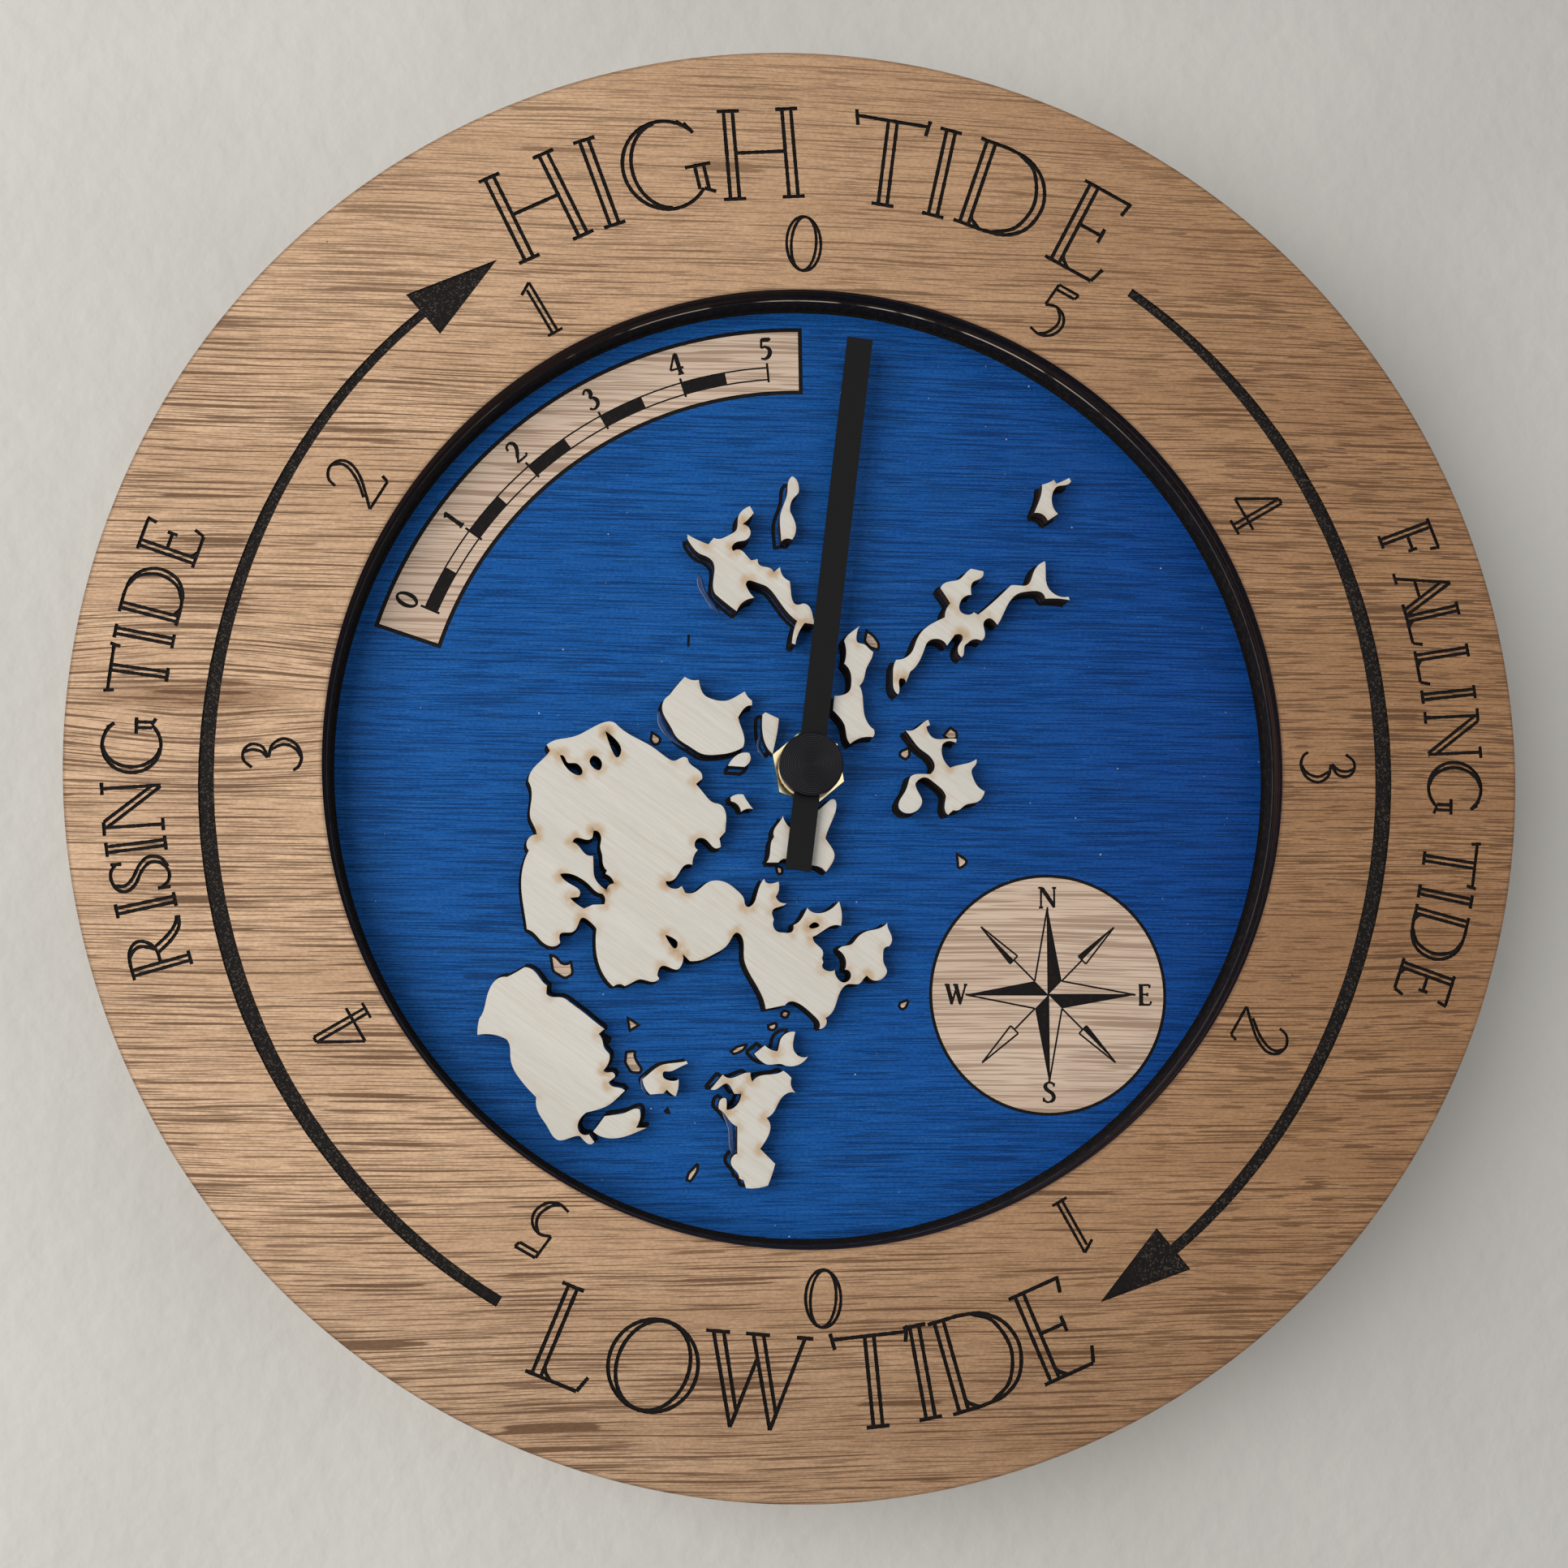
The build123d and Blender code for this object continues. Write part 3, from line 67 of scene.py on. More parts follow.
def resample(points, count, endpoint=True):
    # the line again in equal steps
    length = np.concatenate([[0], np.cumsum(np.linalg.norm(np.diff(points, axis=0), axis=1))])
    at = np.linspace(0, length[-1], count(length[-1]), endpoint=endpoint)
    return np.stack([np.interp(at, length, points[:, k]) for k in (0, 1)], 1)


def flow(points, steps=7):
    # a smooth line through the points: each run is the cubic whose end slopes are half the neighbours' distance
    p = np.asarray(points, float)
    before, after = np.vstack([2 * p[0] - p[1], p[:-1]]), np.vstack([p[1:], 2 * p[-1] - p[-2]])
    slope = (after - before) / 2
    t = np.linspace(0, 1, steps, endpoint=False)[None, :, None]
    a, b, sa, sb = p[:-1, None], p[1:, None], slope[:-1, None], slope[1:, None]
    run = (2 * t**3 - 3 * t**2 + 1) * a + (t**3 - 2 * t**2 + t) * sa + (3 * t**2 - 2 * t**3) * b + (t**3 - t**2) * sb
    return np.vstack([run.reshape(-1, 2), p[-1]])


def ribbon(points, width, closed=False):
    # a line as one quad for each run, the corners cut on their bisectors where there is room; width may vary by point
    p = np.asarray(points, float)
    wide = np.broadcast_to(np.asarray(width, float), len(p))[:, None]
    ring, wide = (np.vstack([p, p[:1]]), np.vstack([wide, wide[:1]])) if closed else (p, wide)
    along = np.diff(ring, axis=0)
    along /= np.linalg.norm(along, axis=1, keepdims=True)
    side = np.stack([-along[:, 1], along[:, 0]], 1)
    first, last = (side[-1:], side[:1]) if closed else (side[:1], side[-1:])
    mitre = np.vstack([first, side]) + np.vstack([side, last])
    shift = mitre * wide / np.maximum((mitre**2).sum(1, keepdims=True), 1.0)
    left, right = ring + shift, ring - shift
    bent = np.stack([right[:-1], right[1:], left[1:], left[:-1]], 1)
    a, b = side * wide[:-1] / 2, side * wide[1:] / 2
    plain = np.stack([ring[:-1] - a, ring[1:] - b, ring[1:] + b, ring[:-1] + a], 1)
    turn = np.roll(bent, -1, 1) - bent
    onward = np.roll(turn, -1, 1)
    # turns left at all four corners
    sound = (turn[..., 0] * onward[..., 1] - turn[..., 1] * onward[..., 0] > 1e-6).all(1)
    return list(np.where(sound[:, None, None], bent, plain))


def engraved(points, width, step=0.45, unevenness=0.11):
    # a burnt line: short even runs of slightly uneven width
    run = resample(np.asarray(points, float), lambda length: max(2, round(length / step) + 1))
    return ribbon(run, width * (1 + unevenness * jitter.uniform(-1, 1, len(run))))


def triangulate(shapes, extra=()):
    # cuts overlapping outlines into triangles; kinds says, for each triangle, what it lies in
    polygons = [np.asarray(p, float) for _, p in shapes]
    polygons = [p if twiceArea(p) > 0 else p[::-1] for p in polygons]
    starts = np.cumsum([0] + [len(p) for p in polygons])
    points = np.vstack(polygons + ([np.asarray(extra)] if len(extra) else []))
    loops = [list(range(a, b)) for a, b in zip(starts[:-1], starts[1:])]
    flat, _, faces, _, _, origin = delaunay_2d_cdt([Vector(p) for p in points], [], loops, 0, 1e-4, True)
    tris = np.array(faces)
    owner = np.repeat(np.arange(len(tris)), np.fromiter(map(len, origin), int))
    kinds = np.zeros(len(tris), int)
    shapeKind = np.array([kind for kind, _ in shapes])
    np.bitwise_or.at(kinds, owner, shapeKind[np.fromiter(chain.from_iterable(origin), int)])
    keep = (kinds & inside > 0) & (kinds & hole == 0)
    return np.array([tuple(v) for v in flat]), tris[keep], kinds[keep]


def rim(tris, count):
    # the directed edges that only one triangle has
    edges = np.vstack([tris[:, [0, 1]], tris[:, [1, 2]], tris[:, [2, 0]]])
    there, back = edges[:, 0] * count + edges[:, 1], edges[:, 1] * count + edges[:, 0]
    return edges[~np.isin(there, back)]


def putMesh(name, points, tris, materials, slots, smooth=False):
    # points are in millimetres in the scene's frame; unused ones are dropped
    used, tris = np.unique(tris, return_inverse=True)
    mesh = bpy.data.meshes.new(name)
    mesh.from_pydata((points[used] * mm).tolist(), [], tris.reshape(-1, 3).tolist())
    for material in materials:
        mesh.materials.append(material)
    mesh.polygons.foreach_set("material_index", np.asarray(slots, np.int32))
    mesh.polygons.foreach_set("use_smooth", np.full(len(slots), smooth))
    mesh.update()
    made = bpy.data.objects.new(name, mesh)
    bpy.context.scene.collection.objects.link(made)
    return made, used


def standUp(flat, stand):
    # points of the dial's plane at a distance from the wall
    return np.stack([flat[:, 0], np.full(len(flat), -stand), flat[:, 1] + axisHeight], 1)


def cutPlate(name, shapes, back, front, depth, materials, extra=()):
    # a flat plate: front by kind, lines sunk by depth, walls round every edge, and the back
    flat, tris, kinds = triangulate(shapes, extra)
    count = len(flat)
    sunk = kinds & line > 0
    slotOf = np.select([sunk, kinds & bare > 0], [2, 1], 0)
    a, b = rim(tris[sunk], count).T if sunk.any() else np.zeros((2, 0), int)
    c, d = rim(tris, count).T
    parts = [
        (tris + count * sunk[:, None], slotOf),
        (np.stack([a, b, b + count], 1), np.full(len(a), 2)),
        (np.stack([a, b + count, a + count], 1), np.full(len(a), 2)),
        (np.stack([d, c, c + 2 * count], 1), np.full(len(c), 3)),
        (np.stack([d, c + 2 * count, d + 2 * count], 1), np.full(len(c), 3)),
        (tris[:, ::-1] + 2 * count, np.full(len(tris), 4)),
    ]
    points = np.vstack([standUp(flat, stand) for stand in (front, front - depth, back)])
    return putMesh(name, points, np.vstack([p for p, _ in parts]), materials, np.concatenate([s for _, s in parts]))


def lathe(name, profile, count, material, smooth=True):
    # a profile of (radius, distance from the wall) carried round the hand's axis
    r, stand = np.asarray(profile, float).T
    turn = np.arange(count) * 2 * np.pi / count
    points = np.stack([
        np.outer(r, np.sin(turn)), np.repeat(-stand[:, None], count, 1), np.outer(r, np.cos(turn)) + axisHeight
    ], -1).reshape(-1, 3)
    row, col = np.meshgrid(np.arange(len(r) - 1), np.arange(count), indexing="ij")
    a, b = row * count + col, row * count + (col + 1) % count
    quads = np.stack([a, b, b + count, a, b + count, a + count], -1).reshape(-1, 3)
    return putMesh(name, points, quads, [material], np.zeros(len(quads)), smooth)[0]


# shader helpers

bench = {}  # the node tree that is being built


def feed(made, inputs):
    # links sockets and sets plain values
    for key, value in inputs.items():
        if isinstance(value, bpy.types.NodeSocket):
            bench["tree"].links.new(value, made.inputs[key])
        else:
            made.inputs[key].default_value = value
    return made


def place(kind, inputs=None, **settings):
    made = bench["tree"].nodes.new("ShaderNode" + kind)
    for key, value in settings.items():
        setattr(made, key, value)
    return feed(made, inputs or {})


def calc(operation, a, b=0.0):
    return place("Math", {0: a, 1: b}, operation=operation).outputs[0]


def mathNode(operation):
    return lambda a, b: calc(operation, a, b)


times, plus, minus, most = map(mathNode, ("MULTIPLY", "ADD", "SUBTRACT", "MAXIMUM"))


def ease(value, low, high, to=(0.0, 1.0)):
    # a smooth step from low to high
    return place("MapRange", {"Value": value, "From Min": low, "From Max": high, "To Min": to[0], "To Max": to[1]},
                 interpolation_type="SMOOTHSTEP").outputs[0]


def blend(share, a, b, mode="MIX"):
    return place("Mix", {"Factor": share, 6: a, 7: b}, data_type="RGBA", blend_type=mode).outputs[2]


def rgb(r, g, b):
    return (r, g, b, 1.0)


def startGroup(name, takes, gives):
    tree = bench["tree"] = bpy.data.node_groups.new(name, "ShaderNodeTree")
    for label, kind, value in takes:
        socket = tree.interface.new_socket(label, in_out="INPUT", socket_type="NodeSocket" + kind)
        if value is not None:
            socket.default_value = value
    for label in gives:
        tree.interface.new_socket(label, in_out="OUTPUT", socket_type="NodeSocketFloat")
    return tree, tree.nodes.new("NodeGroupInput").outputs, tree.nodes.new("NodeGroupOutput")


def noise(vector, scale=1.0, detail=2.0, rough=0.5):
    return place("TexNoise", {"Vector": vector, "Scale": scale, "Detail": detail, "Roughness": rough}).outputs[0]


def stretch(vector, scales):
    return place("VectorMath", {0: vector, 1: scales}, operation="MULTIPLY").outputs[0]


def lift(vector, rise):
    # places moved up or down by a number
    risen = place("CombineXYZ", {"Z": rise}).outputs[0]
    return place("VectorMath", {0: vector, 1: risen}, operation="ADD").outputs[0]


# wood grain along X: broad bands, fine fibres, long thin dark lines that taper at both ends, and short flecks
grainTree, take, give = startGroup(
    "woodGrain",
    [("Vector", "Vector", None), ("Wander", "Float", 0.004), ("Pore Cover", "Float", 0.36),
     ("Fineness", "Float", 1.0), ("Cluster", "Float", 0.22)],
    ["Tone", "Pores", "Flecks", "Relief"],
)
bend = noise(stretch(take["Vector"], (7, 7, 12)), 1.0, 2.0)
drift = times(minus(bend, 0.5), take["Wander"])
fibre = lift(take["Vector"], drift)
fibre = place("VectorMath", {0: fibre, "Scale": take["Fineness"]}, operation="SCALE").outputs[0]
band = noise(stretch(fibre, (4, 60, 70)), 1.0, 3.0, 0.55)
fine = noise(stretch(fibre, (110, 700, 1500)), 1.0, 3.0, 0.65)
longLine = noise(stretch(fibre, (19, 700, 1250)), 1.0, 0.0)
hairLine = noise(stretch(fibre, (42, 900, 2700)), 1.0, 0.0)
fleck = noise(stretch(fibre, (95, 800, 1900)), 1.0, 0.0)
room = minus(1.0, take["Pore Cover"])
edge = plus(room, times(minus(0.5, band), take["Cluster"]))
raised = minus(longLine, edge)
lines = most(ease(raised, -0.01, 0.03), ease(raised, -0.1, 0.03, (0.0, 0.18)))  # a dark core in a soft stain
hairs = times(ease(minus(hairLine, edge), -0.03, 0.04), 0.8)
pores = most(lines, hairs)
tone = plus(times(band, 0.55), times(fine, 0.45))
flecks = ease(minus(fleck, edge), -0.01, 0.06)
feed(give, {"Tone": tone, "Pores": pores, "Flecks": flecks, "Relief": minus(times(fine, 0.4), pores)})

# small pale or dark specks, scattered with gaps between them
speckTree, take, give = startGroup(
    "specks", [("Vector", "Vector", None), ("Pitch", "Float", 300.0), ("Size", "Float", 0.09), ("Share", "Float", 0.3)],
    ["Mask"],
)
cells = place("TexVoronoi", {"Vector": take["Vector"], "Scale": take["Pitch"]})
pick = place("SeparateColor", {0: cells.outputs["Color"]}).outputs[0]
chosen = calc("LESS_THAN", pick, take["Share"])
spot = calc("LESS_THAN", cells.outputs["Distance"], times(take["Size"], plus(pick, 0.6)))
feed(give, {"Mask": times(chosen, spot)})


def useGroup(group, inputs):
    return place("Group", inputs, node_tree=group).outputs


def startMaterial(name, **surface):
    made = bpy.data.materials.new(name)
    made.use_nodes = True
    bench["tree"] = made.node_tree
    skin = made.node_tree.nodes["Principled BSDF"]
    for key, value in surface.items():
        skin.inputs[key.replace("_", " ")].default_value = value
    spotOn = place("TexCoord").outputs["Object"]
    return made, skin, spotOn


def bump(skin, height, depth, strength=1.0):
    lifted = place("Bump", {"Height": height, "Distance": depth, "Strength": strength}).outputs[0]
    feed(skin, {"Normal": lifted})


def axisOf(spotOn, axis):
    return place("SeparateXYZ", {0: spotOn}).outputs["XYZ".index(axis)]


def shaded(colour, shade):
    # a colour times a plain number
    return blend(1.0, colour, place("CombineColor", {0: shade, 1: shade, 2: shade}).outputs[0], "MULTIPLY")


def radialFrom(spotOn, centre=(0.0, 0.0), squeeze=(1.0, 1.0)):
    # distance on the dial from a place given in millimetres
    away = place("VectorMath", {0: spotOn, 1: (centre[0] * mm, 0, (centre[1] + axisHeight) * mm)},
        operation="SUBTRACT").outputs[0]
    flatOn = stretch(away, (squeeze[0], 0, squeeze[1]))
    return place("VectorMath", {0: flatOn}, operation="LENGTH").outputs["Value"]


# finishes

def gritty(spotOn, colour, amount):
    # fine broken fibres, lighter and darker
    broken = noise(stretch(spotOn, (1300, 1300, 2800)), 1.0, 1.0)
    shade = ease(broken, 0.3, 0.7, (1.0 - amount, 1.0 + amount))
    return shaded(colour, shade)


veneerLook = {
    "light": rgb(0.728, 0.484, 0.304), "dark": rgb(0.548, 0.345, 0.205), "pore": rgb(0.105, 0.046, 0.019),
    "redderAndShaded": rgb(0.548, 0.444, 0.334),
    "scorch": rgb(0.1, 0.05, 0.025), "innerRadius": 99.3, "outerRadius": 150.0, "scorchWidth": 0.8,
    "knot": (-124.0, 12.0), "knotSpread": (42.0, 270.0), "knotPull": (24.0, 46.0),
    "knotColour": rgb(0.235, 0.115, 0.052),
    "grit": 0.1, "cover": (0.345, 0.39), "footCover": 0.025, "rightCover": 0.02, "footShade": rgb(0.84, 0.84, 0.85),
    "lines": (0.86, 0.84), "flecks": (0.25, 0.8), "topLines": 0.72,
    # spans in metres over which each change comes in
    "heartSpan": (0.02, 0.13), "leftSpan": (0.02, -0.145), "rightSpan": (0.05, 0.13), "redderAndShadedSpan": (-0.13, 0.15),
    "footSpan": (-0.12, -0.17), "shadeSpan": (-0.11, -0.165), "topSpan": (0.04, 0.09),
}


def veneer():
    look = veneerLook
    made, skin, spotOn = startMaterial("veneerPly", Roughness=0.5, Specular_IOR_Level=0.2, Coat_Weight=0.1,
        Coat_Roughness=0.42)
    across, upward = axisOf(spotOn, "X"), axisOf(spotOn, "Z")
    heart = ease(across, *look["heartSpan"])
    # more lines to the far left, to the foot and to the right
    toLeft = ease(across, *look["leftSpan"], look["cover"])
    cover = plus(toLeft, ease(upward, *look["footSpan"], (0.0, look["footCover"])))
    cover = plus(cover, ease(across, *look["rightSpan"], (0.0, look["rightCover"])))
    # the lines part round the knot: heights near it are drawn in towards its own
    above = minus(upward, (look["knot"][1] + axisHeight) * mm)
    near = radialFrom(spotOn, look["knot"], look["knotPull"])
    pull = times(above, ease(near, 1.0, 0.0, (0.0, -0.45)))
    parted = lift(spotOn, pull)
    grain = useGroup(grainTree, {"Vector": parted, "Wander": 0.006, "Pore Cover": cover, "Fineness": 1.5})
    colour = blend(ease(grain["Tone"], 0.36, 0.64), look["dark"], look["light"])
    # darker and redder to the right: partly the veneer's own tone, partly painted light, with painted shade to the
    # right away from the window and the left kept paler as under its sheen
    colour = blend(ease(across, *look["redderAndShadedSpan"]), colour, blend(1.0, colour, look["redderAndShaded"], "MULTIPLY"))
    colour = blend(ease(upward, *look["shadeSpan"]), colour, blend(1.0, colour, look["footShade"], "MULTIPLY"))
    knot = ease(radialFrom(spotOn, look["knot"], look["knotSpread"]), 1.15, 0.3)
    colour = blend(times(knot, ease(grain["Tone"], 0.36, 0.62, (0.95, 0.55))), colour, look["knotColour"])
    strength = times(ease(heart, 0.0, 1.0, look["lines"]), ease(upward, *look["topSpan"], (1.0, look["topLines"])))
    lines = times(grain["Pores"], strength)
    dashes = times(grain["Flecks"], ease(heart, 0.0, 1.0, look["flecks"]))  # short open pores in the heartwood
    colour = blend(most(lines, dashes), colour, look["pore"])
    colour = gritty(spotOn, colour, look["grit"])
    reach = radialFrom(spotOn)
    wide = look["scorchWidth"] * mm
    inner = ease(reach, look["innerRadius"] * mm + wide, look["innerRadius"] * mm)
    outer = ease(reach, look["outerRadius"] * mm - wide, look["outerRadius"] * mm)
    colour = blend(times(most(inner, outer), 0.5), colour, look["scorch"])
    dots = useGroup(speckTree, {"Vector": spotOn, "Pitch": 130.0, "Size": 0.06, "Share": 0.1})
    colour = blend(times(dots["Mask"], 0.7), colour, look["pore"])
    feed(skin, {"Base Color": colour, "Roughness": ease(grain["Pores"], 0.0, 1.0, (0.44, 0.7))})
    bump(skin, grain["Relief"], 0.00009, 0.6)
    return made


burntLook = {"layer": rgb(0.06, 0.032, 0.018), "bareBit": rgb(0.15, 0.118, 0.092), "arrowIn": (0.117, 0.119),
             "arrowOut": (0.131, 0.129), "arrowAside": (0.064, 0.07)}


def burnt(name, dark, brown, rough, hatch, layers=0.0):
    made, skin, spotOn = startMaterial(name, Roughness=rough, Specular_IOR_Level=0.1)
    look = burntLook
    soot = noise(spotOn, 900.0, 4.0, 0.65)
    colour = blend(ease(soot, 0.48, 0.78), dark, brown)
    plies = noise(stretch(spotOn, (14, 820, 14)), 1.0, 1.0)
    colour = blend(ease(plies, 0.46, 0.62, (0.0, layers)), colour, look["layer"])
    # bits of bare wood left in the two broad arrows
    reach = radialFrom(spotOn)
    aside = calc("ABSOLUTE", axisOf(spotOn, "X"))
    band = times(ease(reach, *look["arrowIn"]), ease(reach, *look["arrowOut"]))
    broad = times(band, ease(aside, *look["arrowAside"]))
    bits = ease(noise(spotOn, 2600.0, 1.0), 0.56, 0.68, (0.0, 0.38))
    colour = blend(times(bits, broad), colour, look["bareBit"])
    feed(skin, {"Base Color": colour})
    rows = place("TexWave", {"Vector": spotOn, "Scale": hatch, "Distortion": 1.5, "Detail": 1.0},
                 bands_direction="DIAGONAL").outputs["Fac"]
    bump(skin, plus(rows, soot), 0.00008, 0.7)
    return made


paintLook = {
    "paint": rgb(0.008, 0.086, 0.332), "deep": rgb(0.007, 0.08, 0.315), "pore": rgb(0.003, 0.018, 0.08),
    # ridge: the colour of the painted highlight on the grain's crests
    "ridge": rgb(0.03, 0.16, 0.46),
    # near and far: painted light, brighter on the left near the window and painted shade to the right
    "near": rgb(1.1, 1.12, 1.06), "far": rgb(0.6, 0.66, 0.8), "dust": rgb(0.55, 0.6, 0.66),
    "grit": 0.16, "cover": (0.335, 0.378), "falloffSpan": (-0.03, 0.12),
    # pitch, size, share, strength
    "specks": ((210.0, 0.05, 0.22, 0.75), (420.0, 0.07, 0.13, 0.6), (1100.0, 0.1, 0.08, 0.5)),
}


def paintedPly():
    look = paintLook
    made, skin, spotOn = startMaterial("paintedPly", Roughness=0.45, Specular_IOR_Level=0.09)
    patchy = noise(stretch(spotOn, (18, 18, 40)), 1.0, 3.0)
    cover = ease(patchy, 0.3, 0.7, look["cover"])
    grain = useGroup(grainTree, {
        "Vector": spotOn, "Wander": 0.003, "Pore Cover": cover, "Fineness": 2.0, "Cluster": 0.08})
    colour = blend(ease(plus(grain["Tone"], times(patchy, 0.5)), 0.5, 1.0), look["deep"], look["paint"])
    dents = most(times(grain["Pores"], 0.64), times(grain["Flecks"], 0.15))
    colour = blend(dents, colour, look["pore"])
    crestHighlight = noise(stretch(spotOn, (110, 900, 3600)), 1.0, 0.0)
    colour = blend(ease(crestHighlight, 0.6, 0.72, (0.0, 0.25)), colour, look["ridge"])  # painted highlight on the crests of the grain
    paintedFalloff = blend(ease(axisOf(spotOn, "X"), *look["falloffSpan"]), look["near"], look["far"])  # painted light: brighter on the left near the window, painted shade to the right
    colour = blend(1.0, colour, paintedFalloff, "MULTIPLY")
    colour = gritty(spotOn, colour, look["grit"])
    for pitch, size, share, strength in look["specks"]:
        dots = useGroup(speckTree, {"Vector": spotOn, "Pitch": pitch, "Size": size, "Share": share})
        colour = blend(times(dots["Mask"], strength), colour, look["dust"])
    feed(skin, {"Base Color": colour, "Roughness": ease(patchy, 0.3, 0.7, (0.38, 0.52))})
    bump(skin, grain["Relief"], 0.00014, 0.8)
    return made


def barePly(name, light, dark, pore, rough=0.62):
    made, skin, spotOn = startMaterial(name, Roughness=rough)
    grain = useGroup(grainTree, {"Vector": spotOn, "Wander": 0.005, "Pore Cover": 0.385, "Fineness": 1.35})
    colour = blend(ease(grain["Tone"], 0.35, 0.65), dark, light)
    colour = blend(times(grain["Pores"], 0.66), colour, pore)
    feed(skin, {"Base Color": colour})
    bump(skin, grain["Relief"], 0.00008, 0.5)
    return made


birchLook = {
    "light": rgb(0.7, 0.675, 0.615), "dark": rgb(0.615, 0.58, 0.51), "tan": rgb(0.52, 0.335, 0.165),
    "char": rgb(0.1, 0.045, 0.02), "grainTurn": -36.0,
}


def birchTop():
    look = birchLook
    made, skin, spotOn = startMaterial("birchTop", Roughness=0.6)
    turned = place("Mapping", {"Vector": spotOn, "Rotation": (0, math.radians(look["grainTurn"]), 0)}).outputs[0]
    grain = useGroup(grainTree, {"Vector": turned, "Wander": 0.003, "Pore Cover": 0.33, "Fineness": 1.6})
    colour = blend(ease(grain["Tone"], 0.32, 0.68), look["dark"], look["light"])
    colour = blend(times(grain["Pores"], 0.13), colour, look["tan"])
    heat = place("Attribute", attribute_name="scorch").outputs["Fac"]
    ragged = times(heat, ease(noise(spotOn, 420.0, 3.0), 0.25, 0.75, (0.45, 1.15)))
    colour = blend(ease(ragged, 0.1, 0.75, (0.0, 0.78)), colour, look["tan"])
    colour = blend(ease(ragged, 0.7, 1.15, (0.0, 0.75)), colour, look["char"])
    dots = useGroup(speckTree, {"Vector": spotOn, "Pitch": 95.0, "Size": 0.03, "Share": 0.12})
    colour = blend(times(dots["Mask"], 0.6), colour, look["tan"])
    feed(skin, {"Base Color": colour})
    bump(skin, grain["Relief"], 0.00005, 0.4)
    return made


def satinMetal(name, base, rough, metallic, grainScale, depth, shine=0.5):
    # sheet or turned metal with a fine uneven satin
    made, skin, spotOn = startMaterial(name, Metallic=metallic, Roughness=rough, Specular_IOR_Level=shine)
    mist = noise(spotOn, grainScale, 3.0, 0.6)
    shade = ease(mist, 0.3, 0.7, (0.82, 1.08))
    feed(skin, {"Base Color": shaded(base, shade), "Roughness": ease(mist, 0.3, 0.7, (rough * 0.85, rough * 1.15))})
    bump(skin, mist, depth, 0.5)
    return made


def moulded(name, base, rough, pitch, depth):
    # moulded plastic or rubber with a spark-eroded grain
    made, skin, spotOn = startMaterial(name, Roughness=rough)
    pits = noise(spotOn, pitch, 3.0, 0.55)
    wash = noise(spotOn, 40.0, 2.0)
    shade = ease(wash, 0.3, 0.7, (0.85, 1.1))
    feed(skin, {"Base Color": shaded(base, shade), "Roughness": ease(pits, 0.3, 0.7, (rough * 0.88, rough * 1.1))})
    bump(skin, pits, depth, 0.6)
    return made


veneerPly = veneer()
burntLine = burnt("burntLine", rgb(0.006, 0.005, 0.005), rgb(0.02, 0.013, 0.009), 0.62, 900.0)
burntEdge = burnt("burntEdge", rgb(0.007, 0.006, 0.006), rgb(0.03, 0.017, 0.01), 0.58, 500.0, 0.6)
paintPly = paintedPly()
pinkPly = barePly("barePly", rgb(0.715, 0.555, 0.425), rgb(0.6, 0.442, 0.332), rgb(0.24, 0.135, 0.075))
rearPly = barePly("rearPly", rgb(0.66, 0.54, 0.4), rgb(0.52, 0.4, 0.28), rgb(0.22, 0.14, 0.08))
birch = birchTop()
blackMetal = satinMetal("blackMetal", rgb(0.007, 0.007, 0.008), 0.55, 0.0, 2600.0, 0.00001, 0.11)
brass = satinMetal("brass", rgb(0.93, 0.78, 0.48), 0.18, 1.0, 700.0, 0.000008)
steel = satinMetal("steel", rgb(0.6, 0.6, 0.61), 0.34, 1.0, 500.0, 0.000014)
copper = satinMetal("copper", rgb(0.72, 0.34, 0.17), 0.35, 1.0, 1500.0, 0.00002)
caseBlack = moulded("caseBlack", rgb(0.026, 0.026, 0.028), 0.55, 1500.0, 0.00003)
wheelWhite = moulded("wheelWhite", rgb(0.78, 0.78, 0.73), 0.45, 700.0, 0.00001)
circuitGreen = moulded("circuitGreen", rgb(0.05, 0.2, 0.09), 0.4, 900.0, 0.00001)
sleeveGrey = moulded("sleeveGrey", rgb(0.1, 0.105, 0.115), 0.32, 300.0, 0.000008)
rubber = moulded("rubber", rgb(0.022, 0.022, 0.022), 0.75, 1200.0, 0.00002)
print("finishes made")


# lettering: open roman capitals and figures, in shares of their height

def stem(x, low=0.0, high=1.0, foot=True, head=True):
    # a stem of two lines with thin serifs
    lines = [[(x - 0.05, low), (x - 0.05, high)], [(x + 0.05, low), (x + 0.05, high)]]
    lines += [[(x - 0.125, low), (x + 0.125, low)]] if foot else []
    return lines + ([[(x - 0.125, high), (x + 0.125, high)]] if head else [])


def oval(cx, cy, rx, ry, start=0, stop=360, lean=0.0):
    turn = np.radians(np.linspace(start, stop, max(8, int(abs(stop - start) / 9))))
    tilt = np.radians(lean)
    x, y = rx * np.cos(turn), ry * np.sin(turn)
    return np.stack([cx + x * np.cos(tilt) - y * np.sin(tilt), cy + x * np.sin(tilt) + y * np.cos(tilt)], 1)


